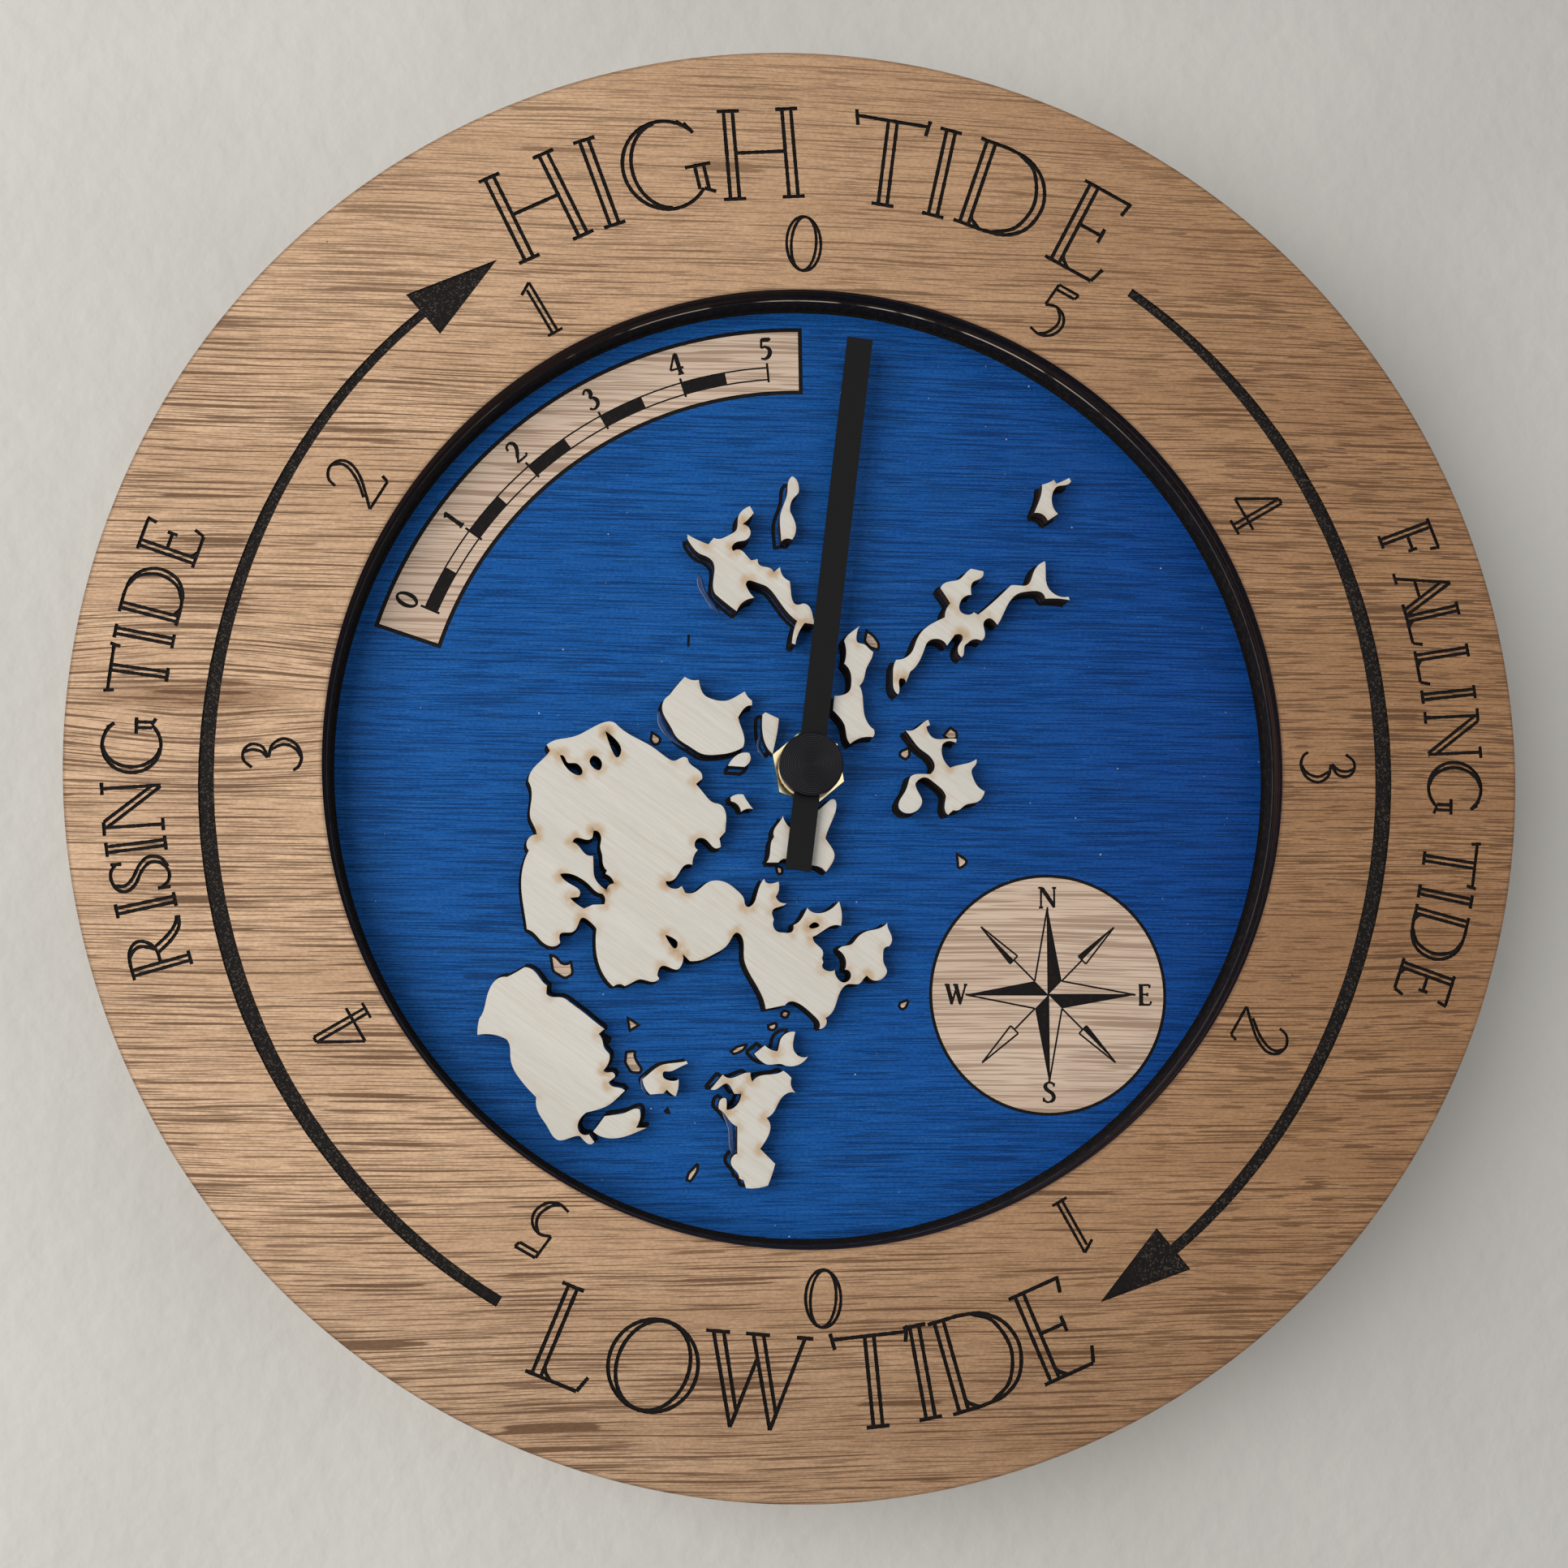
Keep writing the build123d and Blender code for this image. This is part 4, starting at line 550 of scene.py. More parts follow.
armE = [[(0.015, 1), (0.58, 1)], [(0.6, 1.02), (0.565, 0.84)], [(0.19, 0.52), (0.47, 0.52)],
        [(0.47, 0.61), (0.47, 0.43)]]
footL = [[(0.015, 0), (0.6, 0)], [(0.6, 0), (0.66, 0.18)], flow([(0.19, 0.22), (0.2, 0.09), (0.3, 0.0)])]
glyphs = {  # width, then lines
    "I": (0.25, stem(0.125)),
    "H": (0.905, stem(0.125) + stem(0.78) + [[(0.175, 0.52), (0.73, 0.52)]]),
    "T": (0.8, stem(0.4, 0, 0.97, True, False) + [[(0, 0.97), (0.8, 0.97)], [(-0.02, 1.04), (0.015, 0.86)],
        [(0.82, 1.04), (0.785, 0.86)]]),
    "D": (0.95, stem(0.14, 0, 1, False, False) + [
        [(0.015, 1), (0.36, 1)], flow([(0.36, 1), (0.62, 0.95), (0.83, 0.78), (0.92, 0.5), (0.83, 0.2), (0.62, 0.04),
        (0.36, 0)]), [(0.36, 0), (0.015, 0)],
        flow([(0.5, 0.975), (0.71, 0.84), (0.82, 0.5), (0.71, 0.17), (0.47, 0.015)]),
        flow([(0.19, 0.22), (0.2, 0.09), (0.32, 0.0)])]),
    "E": (0.68, stem(0.14, 0, 1, False, False) + armE + footL),
    "F": (0.62, stem(0.14, 0, 1, True, False) + armE),
    "L": (0.68, stem(0.14, 0, 1, False, True) + footL),
    "O": (0.96, [oval(0.48, 0.49, 0.48, 0.49), oval(0.48, 0.49, 0.385, 0.485, 0, 360, -7)]),
    "G": (1.0, [
        oval(0.48, 0.5, 0.48, 0.5, 42, 318), oval(0.5, 0.5, 0.4, 0.49, 97, 262), [(0.84, 0.165), (0.96, 0.1)],
        [(0.7, 0.965), (0.85, 0.83)], [(0.78, 0.93), (0.86, 0.8)], [(0.79, 0.16), (0.79, 0.43)],
        [(0.89, 0.13), (0.89, 0.43)], [(0.68, 0.43), (0.97, 0.43)]]),
    "W": (1.14, [
        [(0.07, 1), (0.34, 0)], [(0.18, 1), (0.385, 0.19)], [(0.34, 0), (0.562, 0.735)], [(0.5, 1), (0.77, 0)],
        [(0.61, 1), (0.815, 0.19)],
        [(0.77, 0), (1.06, 1)], [(-0.01, 1), (0.25, 1)], [(0.42, 1), (0.68, 1)], [(0.97, 1), (1.15, 1)]]),
    "A": (0.88, [[(0.08, 0), (0.42, 1)], [(0.42, 1), (0.79, 0)], [(0.36, 0.84), (0.68, 0)],
        [(0.2, 0.35), (0.55, 0.35)], [(-0.02, 0), (0.19, 0)], [(0.57, 0), (0.9, 0)]]),
    "N": (0.94, [
        [(0.14, 0), (0.14, 1)], [(0.14, 0.95), (0.8, 0)], [(0.24, 1), (0.82, 0.15)], [(0.82, 0), (0.82, 1)],
        [(0.03, 0), (0.25, 0)], [(0.0, 1), (0.24, 1)], [(0.71, 1), (0.93, 1)]]),
    "R": (0.9, stem(0.14, 0, 1, True, False) + [
        [(0.015, 1), (0.3, 1)], flow([(0.3, 1), (0.5, 0.96), (0.63, 0.84), (0.63, 0.7), (0.52, 0.56), (0.36, 0.5),
        (0.19, 0.5)]),
        flow([(0.42, 0.975), (0.53, 0.85), (0.54, 0.71), (0.44, 0.53)]),
        flow([(0.36, 0.5), (0.52, 0.22), (0.7, 0.04), (0.9, -0.01)]),
        flow([(0.47, 0.53), (0.61, 0.27), (0.76, 0.09), (0.9, 0.02)])]),
    "S": (0.64, [
        flow([(0.56, 0.88), (0.44, 0.98), (0.28, 0.99), (0.12, 0.91), (0.07, 0.76), (0.17, 0.6), (0.38, 0.46),
        (0.5, 0.3), (0.46, 0.12), (0.3, 0.01), (0.14, 0.04), (0.05, 0.16)]),
        flow([(0.2, 0.96), (0.17, 0.78), (0.28, 0.63), (0.48, 0.49), (0.6, 0.32), (0.55, 0.11), (0.38, 0.01)]),
        [(0.55, 0.78), (0.57, 0.97)], [(0.03, 0.02), (0.035, 0.24)]]),
    "0": (0.62, [oval(0.31, 0.5, 0.31, 0.5), oval(0.31, 0.5, 0.225, 0.495, 0, 360, -5)]),
    "1": (0.4, [[(0.15, 0), (0.15, 0.9)], [(0.25, 0), (0.25, 1)], [(0.02, 0.86), (0.25, 1)], [(0.05, 0), (0.35, 0)]]),
    "2": (0.62, [
        flow([(0.05, 0.74), (0.1, 0.91), (0.28, 1.0), (0.47, 0.92), (0.53, 0.73), (0.43, 0.48), (0.23, 0.24),
        (0.02, 0.02)]),
        flow([(0.34, 0.985), (0.44, 0.86), (0.44, 0.7), (0.33, 0.46), (0.14, 0.22)]), [(0.02, 0.02), (0.6, 0.02)],
        [(0.6, 0.02), (0.64, 0.15)]]),
    "3": (0.58, [
        flow([(0.06, 0.84), (0.18, 0.98), (0.34, 0.99), (0.46, 0.87), (0.43, 0.68), (0.24, 0.56)]),
        flow([(0.24, 0.56), (0.46, 0.5), (0.57, 0.31), (0.48, 0.1), (0.28, 0.0), (0.1, 0.04), (0.02, 0.14)]),
        flow([(0.32, 0.985), (0.37, 0.85), (0.34, 0.69), (0.24, 0.58)]),
        flow([(0.38, 0.515), (0.47, 0.31), (0.4, 0.11), (0.26, 0.01)])]),
    "4": (0.66, [[(0.4, 1), (0, 0.28)], [(0, 0.28), (0.66, 0.28)], [(0.4, 0), (0.4, 1)], [(0.5, 0), (0.5, 1)],
        [(0.3, 0), (0.6, 0)], [(0.4, 1), (0.5, 1)]]),
    "5": (0.58, [
        [(0.13, 1), (0.54, 1)], [(0.13, 0.9), (0.5, 0.9)], [(0.54, 1), (0.5, 0.9)], [(0.13, 1), (0.08, 0.55)],
        flow([(0.08, 0.55), (0.28, 0.61), (0.47, 0.52), (0.54, 0.32), (0.44, 0.1), (0.24, 0.0), (0.03, 0.04)]),
        flow([(0.3, 0.605), (0.42, 0.47), (0.44, 0.3), (0.34, 0.1), (0.22, 0.01)])]),
}


def letter(sign, height, at, up, width):
    # one sign centred on a place, its top towards up, as thin quads
    wide, lines = glyphs[sign]
    up = np.asarray(up, float)
    right = np.array([up[1], -up[0]])
    quads = []
    for points in lines:
        local = (np.asarray(points, float) - (wide / 2, 0.5)) * height
        quads += engraved(np.asarray(at) + local[:, :1] * right + local[:, 1:] * up, width, min(0.45, height * 0.06))
    return quads


ringLook = {
    "outer": 150.0, "inner": 99.3, "back": 25.5, "front": 30.5, "depth": 0.35, "sides": 720,
    "bigHeight": 18.8, "bigLine": 0.8, "smallHeight": 11.5, "smallLine": 0.72, "figureHeight": 11.6, "figureLine": 0.63,
    "highRadius": 128.4, "lowRadius": 126.0, "sideRadius": 136.7, "figureRadius": 109.1,
    "arrowSteps": 110, "arrowUneven": 0.02,
}
highTide = zip("HIGHTIDE", (-26.4, -20.1, -13.5, -4.7, 7.3, 12.5, 18.8, 27.6))  # degrees clockwise from the top
lowTide = zip("LOWTIDE", (202.7, 194.9, 185.4, 174.5, 169.9, 164.3, 157.0))
risingTide = zip("RISINGTIDE", (-106.4, -102.7, -100.1, -97.7, -94.4, -89.1, -82.9, -79.9, -76.2, -71.5))
fallingTide = zip("FALLINGTIDE", (69.1, 73.7, 76.8, 80.5, 83.2, 86.8, 91.7, 98.2, 101.3, 104.8, 109.3))
tideScale = (
    ("0", -0.8), ("5", 28.2), ("4", 59.6), ("3", 89.8), ("2", 120.7), ("1", 150.6),
    ("0", 179.0), ("5", -149.9), ("4", -120.3), ("3", -89.8), ("2", -58.8), ("1", -30.9),
)

arrows = (  # angle clockwise from the top and radius, widths along the line, then the head's corners
    (((210.1, 125.9), (238.0, 124.5), (262.0, 122.5), (286.0, 121.4), (319.6, 121.7)),
     (2.3, 3.1, 3.5, 3.2, 2.7, 2.3, 1.9), ((-83.5, 95.5), (-76.5, 87.5), (-65.0, 103.5))),
    (((33.9, 121.7), (62.0, 121.5), (90.0, 121.1), (114.0, 121.9), (143.9, 124.7)),
     (2.0, 2.7, 3.2, 3.5, 3.3, 2.8, 2.3), ((71.0, -95.5), (78.0, -104.0), (59.0, -110.5))),
)


def smoothed(at, places, values):
    # values between places, on the smooth line through them
    course = flow(np.stack([places, values], 1), 16)
    return np.interp(at, course[:, 0], course[:, 1])


def ringMarks():
    look = ringLook
    marks = []
    big, small = (look["bigHeight"], look["bigLine"]), (look["smallHeight"], look["smallLine"])
    words = (
        (highTide, look["highRadius"], *big, 1), (lowTide, look["lowRadius"], *big, -1),
        (risingTide, look["sideRadius"], *small, 1), (fallingTide, look["sideRadius"], *small, 1),
        (tideScale, look["figureRadius"], look["figureHeight"], look["figureLine"], 1),
    )
    for signs, radius, height, width, way in words:
        for sign, angle in signs:
            marks += letter(sign, height, polar(radius, angle), way * polar(1, angle), width)
    # two long arrows that swell in the middle, from low tide to high and from high to low
    for places, widths, head in arrows:
        turn, reach = np.array(places).T
        sweep = np.linspace(turn[0], turn[-1], look["arrowSteps"])
        swell = np.interp(sweep, np.linspace(turn[0], turn[-1], len(widths)), widths)
        uneven = 1 + look["arrowUneven"] * jitter.uniform(-1, 1, len(sweep))
        marks += ribbon(polar(smoothed(sweep, turn, reach), sweep), swell * uneven)
        marks.append(np.array(head))
    return marks


marks = ringMarks()
shapes = [(inside, circle(ringLook["outer"], ringLook["sides"])), (hole, circle(ringLook["inner"], ringLook["sides"]))]
ringFront, _ = cutPlate(
    "front_ring_engraved", shapes + [(line, quad) for quad in marks], ringLook["back"], ringLook["front"],
    ringLook["depth"],
    [veneerPly, veneerPly, burntLine, burntEdge, rearPly])
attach(ringFront, "clock")
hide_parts("front_ring")
print("ring engraved:", len(ringFront.data.polygons), "faces")


# the map's raised pieces: the solids' own outlines, with heat marks where the cut turned sharply

islandLook = {"step": 0.45, "net": 0.75, "netAway": 0.4, "window": 3, "heatReach": 1.8, "rimReach": 0.75,
    "rimHeat": 0.62, "rimLeast": 0.35, "smokeWay": (0.92, -0.38), "back": 21.5, "front": 25.5}
islandNames = [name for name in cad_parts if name.endswith("_island")]


def coastLoops(name):
    # the closed outlines of a node's front face, the wood on the left of each
    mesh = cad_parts[name].data
    co = np.zeros(len(mesh.vertices) * 3)
    mesh.vertices.foreach_get("co", co)
    co = co.reshape(-1, 3) / mm
    mesh.calc_loop_triangles()
    tris = np.zeros(len(mesh.loop_triangles) * 3, int)
    mesh.loop_triangles.foreach_get("vertices", tris)
    key, merged = np.unique(np.round(co, 4), axis=0, return_inverse=True)
    tris = merged.reshape(-1)[tris].reshape(-1, 3)
    front = key[:, 1].min()
    tris = tris[(key[tris][:, :, 1] < front + 1e-3).all(1)]
    following = dict(rim(tris, len(key)).tolist())
    loops = []
    while following:
        first, step = next(iter(following.items()))
        chainOf = [first]
        while step != first:
            chainOf.append(step)
            step = following.pop(step)
        following.pop(first, None)
        loops.append(key[chainOf][:, [0, 2]] - (0, axisHeight))
    return loops


def evenSteps(loop, step):
    # the outline again in nearly equal steps
    return resample(np.vstack([loop, loop[:1]]), lambda length: max(8, int(length / step)), False)


def notchHeat(loop, window):
    # how far the outline turns to the right, into the wood's side, as a share of a right angle
    coming, going = loop - np.roll(loop, window, 0), np.roll(loop, -window, 0) - loop
    turn = np.arctan2(coming[:, 0] * going[:, 1] - coming[:, 1] * going[:, 0], (coming * going).sum(1))
    return np.clip(-turn / (np.pi / 2), 0, 1)


def rimShare(loop):
    # the share of the edge's heat: most where the edge faces the way the smoke was drawn
    along = np.roll(loop, -1, 0) - np.roll(loop, 1, 0)
    out = np.stack([along[:, 1], -along[:, 0]], 1) / np.linalg.norm(along, axis=1, keepdims=True)
    least = islandLook["rimLeast"]
    return least + (1 - least) * np.clip(out @ np.array(islandLook["smokeWay"]), 0, 1)


coasts = {}
for name in islandNames:
    look = islandLook
    loops = coastLoops(name)
    coasts[name] = loops
    even = [evenSteps(loop, look["step"]) for loop in loops]
    edgePoints = np.vstack(even)
    heatAt = np.concatenate([notchHeat(loop, look["window"]) for loop in even])
    rimAt = look["rimHeat"] * np.concatenate([rimShare(loop) for loop in even])
    low, high = edgePoints.min(0), edgePoints.max(0)
    gx, gz = np.meshgrid(np.arange(low[0], high[0], look["net"]), np.arange(low[1], high[1], look["net"]))
    shift = np.stack([(np.arange(gx.size) // gx.shape[1] % 2) * look["net"] / 2, np.zeros(gx.size)], 1)
    net = np.stack([gx.ravel(), gz.ravel()], 1) + shift  # every other row half a step over
    net = net[np.linalg.norm(net[:, None] - edgePoints[None], axis=2).min(1) > look["netAway"]]
    made, used = cutPlate(
        name + "_cutout", [(inside if twiceArea(p) > 0 else hole, p) for p in loops], look["back"], look["front"], 0.0,
        [birch, birch, burntEdge, burntEdge, birch], net)
    co = np.zeros(len(made.data.vertices) * 3)
    made.data.vertices.foreach_get("co", co)
    spots = co.reshape(-1, 3)[:, [0, 2]] / mm - (0, axisHeight)
    away = np.linalg.norm(spots[:, None] - edgePoints[None], axis=2)
    heat = np.maximum((heatAt * np.exp(-(away / look["heatReach"]) ** 2)).max(1),
        rimAt[away.argmin(1)] * np.exp(-away.min(1) / look["rimReach"]))
    made.data.attributes.new("scorch", "FLOAT", "POINT").data.foreach_set("value", heat.astype(np.float32))
    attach(made, "clock")
    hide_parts(name)
print("map pieces:", len(islandNames))


# the dial board: paint, bare places and scored lines

boardLook = {
    "outer": 150.0, "hole": 4.05, "back": 17.5, "front": 21.5, "depth": 0.22, "sides": 720,
    "scoreLine": 0.78, "isletLine": 0.58, "scoreShift": (-0.35, -0.15), "rimLine": 0.85, "discLine": 0.66,
    "footRadius": 98.75, "footLine": 0.9, "bannerRadii": (81.0, 94.6), "bannerTurn": (-72.0, -0.8),
    "compass": (51.3, -47.4), "compassRadius": 25.2, "compassLetter": 4.2, "starReach": (18.6, 18.9, 18.6, 17.8),
    "starWaist": 4.1, "starLine": 0.38,
    "headFrom": 10.4, "headTo": 20.3, "headHalf": 1.15, "openHead": 225, "letterLine": 0.46, "letterAway": 2.0,
    "barTurn": (-67.5, -5.5), "barRuns": 10, "barRadii": (84.0, 86.6), "barThin": 0.34, "barMiddle": 85.3,
    "barThick": 2.9, "tickRadii": (83.4, 87.6), "tickLine": 0.5, "figureRadius": 90.7, "figureHeight": 4.4,
    "figureLine": 0.5, "dash": ((-25.1, 25.8), (-25.0, 28.4)), "dashLine": 0.55, "coastStep": 0.6, "isletStep": 0.7,
}
scoreShifts = {
    "winged_island": (-1.3, 0.35), "southern_island": (-0.9, 0.25), "narrow_island": (-1.0, -0.1),
    "slender_island": (-1.0, -0.6), "leaf_island": (-0.5, -0.9), "northwest_island": (-0.45, -0.3),
    "round_island": (-0.4, -0.3), "shore_island": (0.7, 0.6), "west_island": (0.5, 0.5),
    "bean_island": (-0.4, 0.0), "hook_island": (-0.4, 0.1), "ridge_island": (-0.45, -0.15),
}
isletCoasts = [  # flush islets left bare
    [(12.8, 29.8), (14.3, 28.8), (15.5, 27.0), (15.2, 25.8), (13.5, 26.3), (12.4, 27.6)],
    [(30.7, 9.3), (32.0, 8.4), (32.1, 7.1), (30.3, 6.8), (29.2, 7.7)],
    [(21.8, 4.9), (21.9, 3.2), (21.1, 2.4), (19.8, 3.1), (19.9, 4.1)],
    [(31.9, -17.6), (34.1, -19.0), (33.6, -20.0), (32.2, -20.8)],
    [(-37.6, -52.3), (-35.3, -53.8), (-37.2, -55.0)],
    [(-37.9, -59.4), (-36.0, -59.2), (-36.2, -60.3), (-35.6, -61.6), (-34.6, -62.9), (-35.1, -63.7), (-36.9, -63.6),
     (-38.1, -61.6)],
    [(-16.1, -59.3), (-14.8, -58.3), (-12.7, -57.8), (-13.7, -59.2), (-15.5, -59.9)],
    [(-8.3, -53.9), (-6.7, -53.3), (-6.4, -54.0), (-7.1, -54.9), (-8.2, -54.8)],
    [(-5.5, -51.3), (-4.8, -50.7), (-3.8, -51.3), (-4.5, -52.3), (-5.5, -52.2)],
    [(19.6, -49.1), (21.4, -48.5), (20.9, -50.0), (19.9, -50.7), (19.3, -49.8)],
    [(-23.0, -82.5), (-23.1, -84.1), (-24.5, -86.2), (-25.3, -85.9), (-25.0, -84.6)],
    [(-32.7, 7.4), (-31.6, 6.9), (-30.9, 6.1), (-31.2, 5.1), (-32.3, 4.9), (-33.0, 5.8)],
    [(-6.6, -20.4), (-5.4, -20.7), (-5.2, -22.0), (-6.3, -22.2)],
    [(-53.6, -39.4), (-52.6, -39.6), (-51.2, -41.2), (-50.2, -41.2), (-49.4, -40.7), (-49.0, -43.2), (-50.6, -44.2),
     (-53.1, -42.7)],
]
scorchedIslets = [  # and two that the cutter burnt dark
    [(-30.2, -71.6), (-29.2, -70.7), (-28.6, -72.2), (-29.7, -72.2)],
    [(-42.2, -55.6), (-40.9, -56.4), (-41.3, -57.7), (-42.3, -57.5)],
]


def boardShapes():
    look = boardLook
    shapes = [
        (inside, circle(look["outer"], look["sides"])), (hole, circle(look["hole"], 64)),
    ]
    lines = []
    for name, loops in coasts.items():
        for loop in loops:
            lines += ribbon(evenSteps(loop, look["coastStep"]) + scoreShifts.get(name, look["scoreShift"]),
                look["scoreLine"], True)
    for coast in isletCoasts:
        shapes.append((bare, np.array(coast)))
        lines += ribbon(evenSteps(np.array(coast), look["isletStep"]), look["isletLine"], True)
    lines += [np.array(coast) for coast in scorchedIslets]
    lines += ribbon(circle(look["footRadius"], 360), look["footLine"], True)  # a dark line along the spacer's foot: painted contact shadow
    # the curved banner with a plain scale bar
    low, high = look["bannerRadii"]
    sweep = np.linspace(*look["bannerTurn"], 60)
    banner = np.vstack([polar(high, sweep), polar(low, sweep[::-1])])
    shapes.append((bare, banner))
    lines += ribbon(banner, look["rimLine"], True)
    inner, outer = look["barRadii"]
    steps = np.linspace(*look["barTurn"], look["barRuns"] + 1)
    for count, (a, b) in enumerate(zip(steps[:-1], steps[1:])):
        sweep = np.linspace(a, b, 8)
        if count % 2:
            lines += ribbon(np.vstack([polar(outer, sweep), polar(inner, sweep[::-1])]), look["barThin"], True)
        else:
            lines += ribbon(polar(look["barMiddle"], sweep), look["barThick"])
    for count, angle in enumerate(steps[::2]):
        lines += ribbon(polar(np.array(look["tickRadii"]), angle), look["tickLine"])
        lines += letter("012345"[count], look["figureHeight"], polar(look["figureRadius"], angle), polar(1, angle),
            look["figureLine"])
    # the compass: a bare disc, eight points and four letters
    centre = np.array(look["compass"])
    shapes.append((bare, circle(look["compassRadius"], 120, centre)))
    lines += ribbon(circle(look["compassRadius"], 120, centre), look["discLine"], True)
    waist, thin = look["starWaist"], look["starLine"]
    for angle, sign, reach in zip((0, 90, 180, 270), "NESW", look["starReach"]):
        tip, left, right = polar(reach, angle), polar(waist, angle - 45), polar(waist, angle + 45)
        lines.append(centre + np.array([(0, 0), tip, right]))
        lines += ribbon(centre + np.array([tip, left]), thin) + ribbon(centre + np.array([(0, 0), tip]), thin)
        lines += letter(sign, look["compassLetter"], centre + polar(reach + look["letterAway"], angle), (0, 1),
            look["letterLine"])
    for angle in (45, 135, 225, 315):
        foot, tip = polar(look["headFrom"], angle), polar(look["headTo"], angle)
        aside = polar(look["headHalf"], angle - 90)
        lines += ribbon(centre + np.array([polar(waist, angle), foot]), thin)
        for ends in ((foot + aside, tip), (tip, foot - aside), (foot - aside, foot + aside)):
            lines += ribbon(centre + np.array(ends), thin)
        if angle != look["openHead"]:
            lines.append(centre + np.array([foot, foot + aside, tip]))
    lines += ribbon(look["dash"], look["dashLine"])  # a lone cut dash
    return shapes + [(line, quad) for quad in lines]


board, _ = cutPlate(
    "dial_board_painted", boardShapes(), boardLook["back"], boardLook["front"], boardLook["depth"],
    [paintPly, pinkPly, burntLine, burntEdge, rearPly])
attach(board, "clock")
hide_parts("dial_board")
print("board scored:", len(board.data.polygons), "faces")


# the spacer, its inner edge pale bare wood here and there, kept mostly to the top as painted highlight

spacerLook = {"outer": 150.0, "bore": 99.15, "back": 21.5, "front": 25.5, "wear": 0.16, "sides": 360,
              "topSpan": (0.035, 0.062), "bareShares": (0.05, 0.9), "boreSpan": (0.105, 0.102),
              "soot": rgb(0.008, 0.007, 0.007), "brown": rgb(0.035, 0.022, 0.014), "wood": rgb(0.62, 0.52, 0.4)}


def bareAndHighlitEdge():
    look = spacerLook
    made, skin, spotOn = startMaterial("bareAndHighlitEdge", Roughness=0.6, Specular_IOR_Level=0.18)
    edgeOn = ease(axisOf(spotOn, "Y"), -(look["front"] - look["wear"] * 1.15) * mm,
        -(look["front"] - look["wear"] * 0.85) * mm)
    gaps = ease(noise(spotOn, 55.0, 3.0, 0.7), 0.42, 0.52)
    gaps = times(gaps, ease(axisOf(spotOn, "Z"), *look["topSpan"], look["bareShares"]))  # most of it at the top: painted highlight where the ledge catches the light
    gaps = times(gaps, ease(radialFrom(spotOn), *look["boreSpan"]))  # and only round the bore
    soot = blend(ease(noise(spotOn, 900.0, 4.0), 0.45, 0.8), look["soot"], look["brown"])
    feed(skin, {"Base Color": blend(times(edgeOn, gaps), soot, look["wood"])})
    return made


def spacerProfile():
    # from the back's bore edge round the bore, the worn edge, the front and the rim
    bore, outer, back, front, wear = (spacerLook[key] for key in ("bore", "outer", "back", "front", "wear"))
    return [(bore, back), (outer, back), (outer, front), (bore + wear, front), (bore, front - wear), (bore, back)]


spacer = lathe("spacer_ring_bare_highlit", spacerProfile()[::-1], spacerLook["sides"], bareAndHighlitEdge(), False)
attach(spacer, "clock")
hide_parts("spacer_ring")


# glue that crept out beside some map pieces

glueLook = {"height": 0.16, "steps": 40, "across": 9}
glueRuns = {  # the middle of each run, and its width
    "round": ([(-31.3, 12.0), (-30.6, 9.2), (-28.6, 6.6), (-25.8, 5.0), (-22.0, 3.8)], 1.7),
    "southern": ([(-17.9, -71.2), (-16.3, -74.2), (-15.9, -77.4), (-15.7, -80.8)], 1.7),
    "northwest": ([(-22.9, 41.5), (-22.4, 38.6), (-20.6, 35.6), (-18.6, 33.0)], 1.4),
    "hook": ([(-33.9, -64.2), (-34.5, -65.9), (-33.8, -67.9)], 1.2),
    "narrow": ([(-9.9, 7.2), (-10.3, 4.6), (-9.0, 2.2)], 1.0),
}


def clearGlue():
    made, skin, spotOn = startMaterial("clearGlue", Roughness=0.07, IOR=1.46)
    wash = noise(spotOn, 500.0, 2.0)
    feed(skin, {"Base Color": blend(ease(wash, 0.3, 0.7), rgb(0.004, 0.03, 0.12), rgb(0.01, 0.055, 0.19))})
    bump(skin, wash, 0.00012, 0.6)
    return made


def glueBead(name, path, width, material):
    # a low bead: half an ellipse across, narrowing to nothing at both ends, flat underneath
    look = glueLook
    course = flow(path, 24)
    pick = np.linspace(0, len(course) - 1, look["steps"]).round().astype(int)
    course = course[pick]
    along = np.gradient(course, axis=0)
    side = np.stack([-along[:, 1], along[:, 0]], 1) / np.linalg.norm(along, axis=1, keepdims=True)
    swell = np.sin(np.linspace(0.02, np.pi - 0.02, len(course))) ** 0.5
    swell *= 1 + 0.18 * np.sin(np.linspace(0, 9, len(course)))
    turn = np.linspace(0, np.pi, look["across"])
    spots = course[:, None] + side[:, None] * (np.cos(turn)[None, :, None] * swell[:, None, None] * width / 2)
    rise = boardLook["front"] + look["height"] * np.sin(turn)[None] * swell[:, None]
    points = np.stack([spots[..., 0], -rise, spots[..., 1] + axisHeight], -1).reshape(-1, 3)
    row, col = np.meshgrid(np.arange(len(course) - 1), np.arange(look["across"]), indexing="ij")
    a, b = row * look["across"] + col, row * look["across"] + (col + 1) % look["across"]
    n = look["across"]
    skinTris = np.stack([a, a + n, b + n, a, b + n, b], -1).reshape(-1, 3)
    fan = np.arange(1, n - 1)
    last = (len(course) - 1) * n
    caps = np.vstack([np.stack([np.zeros_like(fan), fan, fan + 1], 1),
        np.stack([np.full_like(fan, last), last + fan + 1, last + fan], 1)])
    tris = np.vstack([skinTris, caps])
    return putMesh(name, points, tris, [material], np.zeros(len(tris)), True)[0]


glue = clearGlue()
for name, (path, width) in glueRuns.items():
    bead = glueBead("glue_" + name, path, width, glue)
    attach(bead, "clock")
print("spacer and glue:", len(glueRuns), "beads")


# the hub cap, turned with fine rings

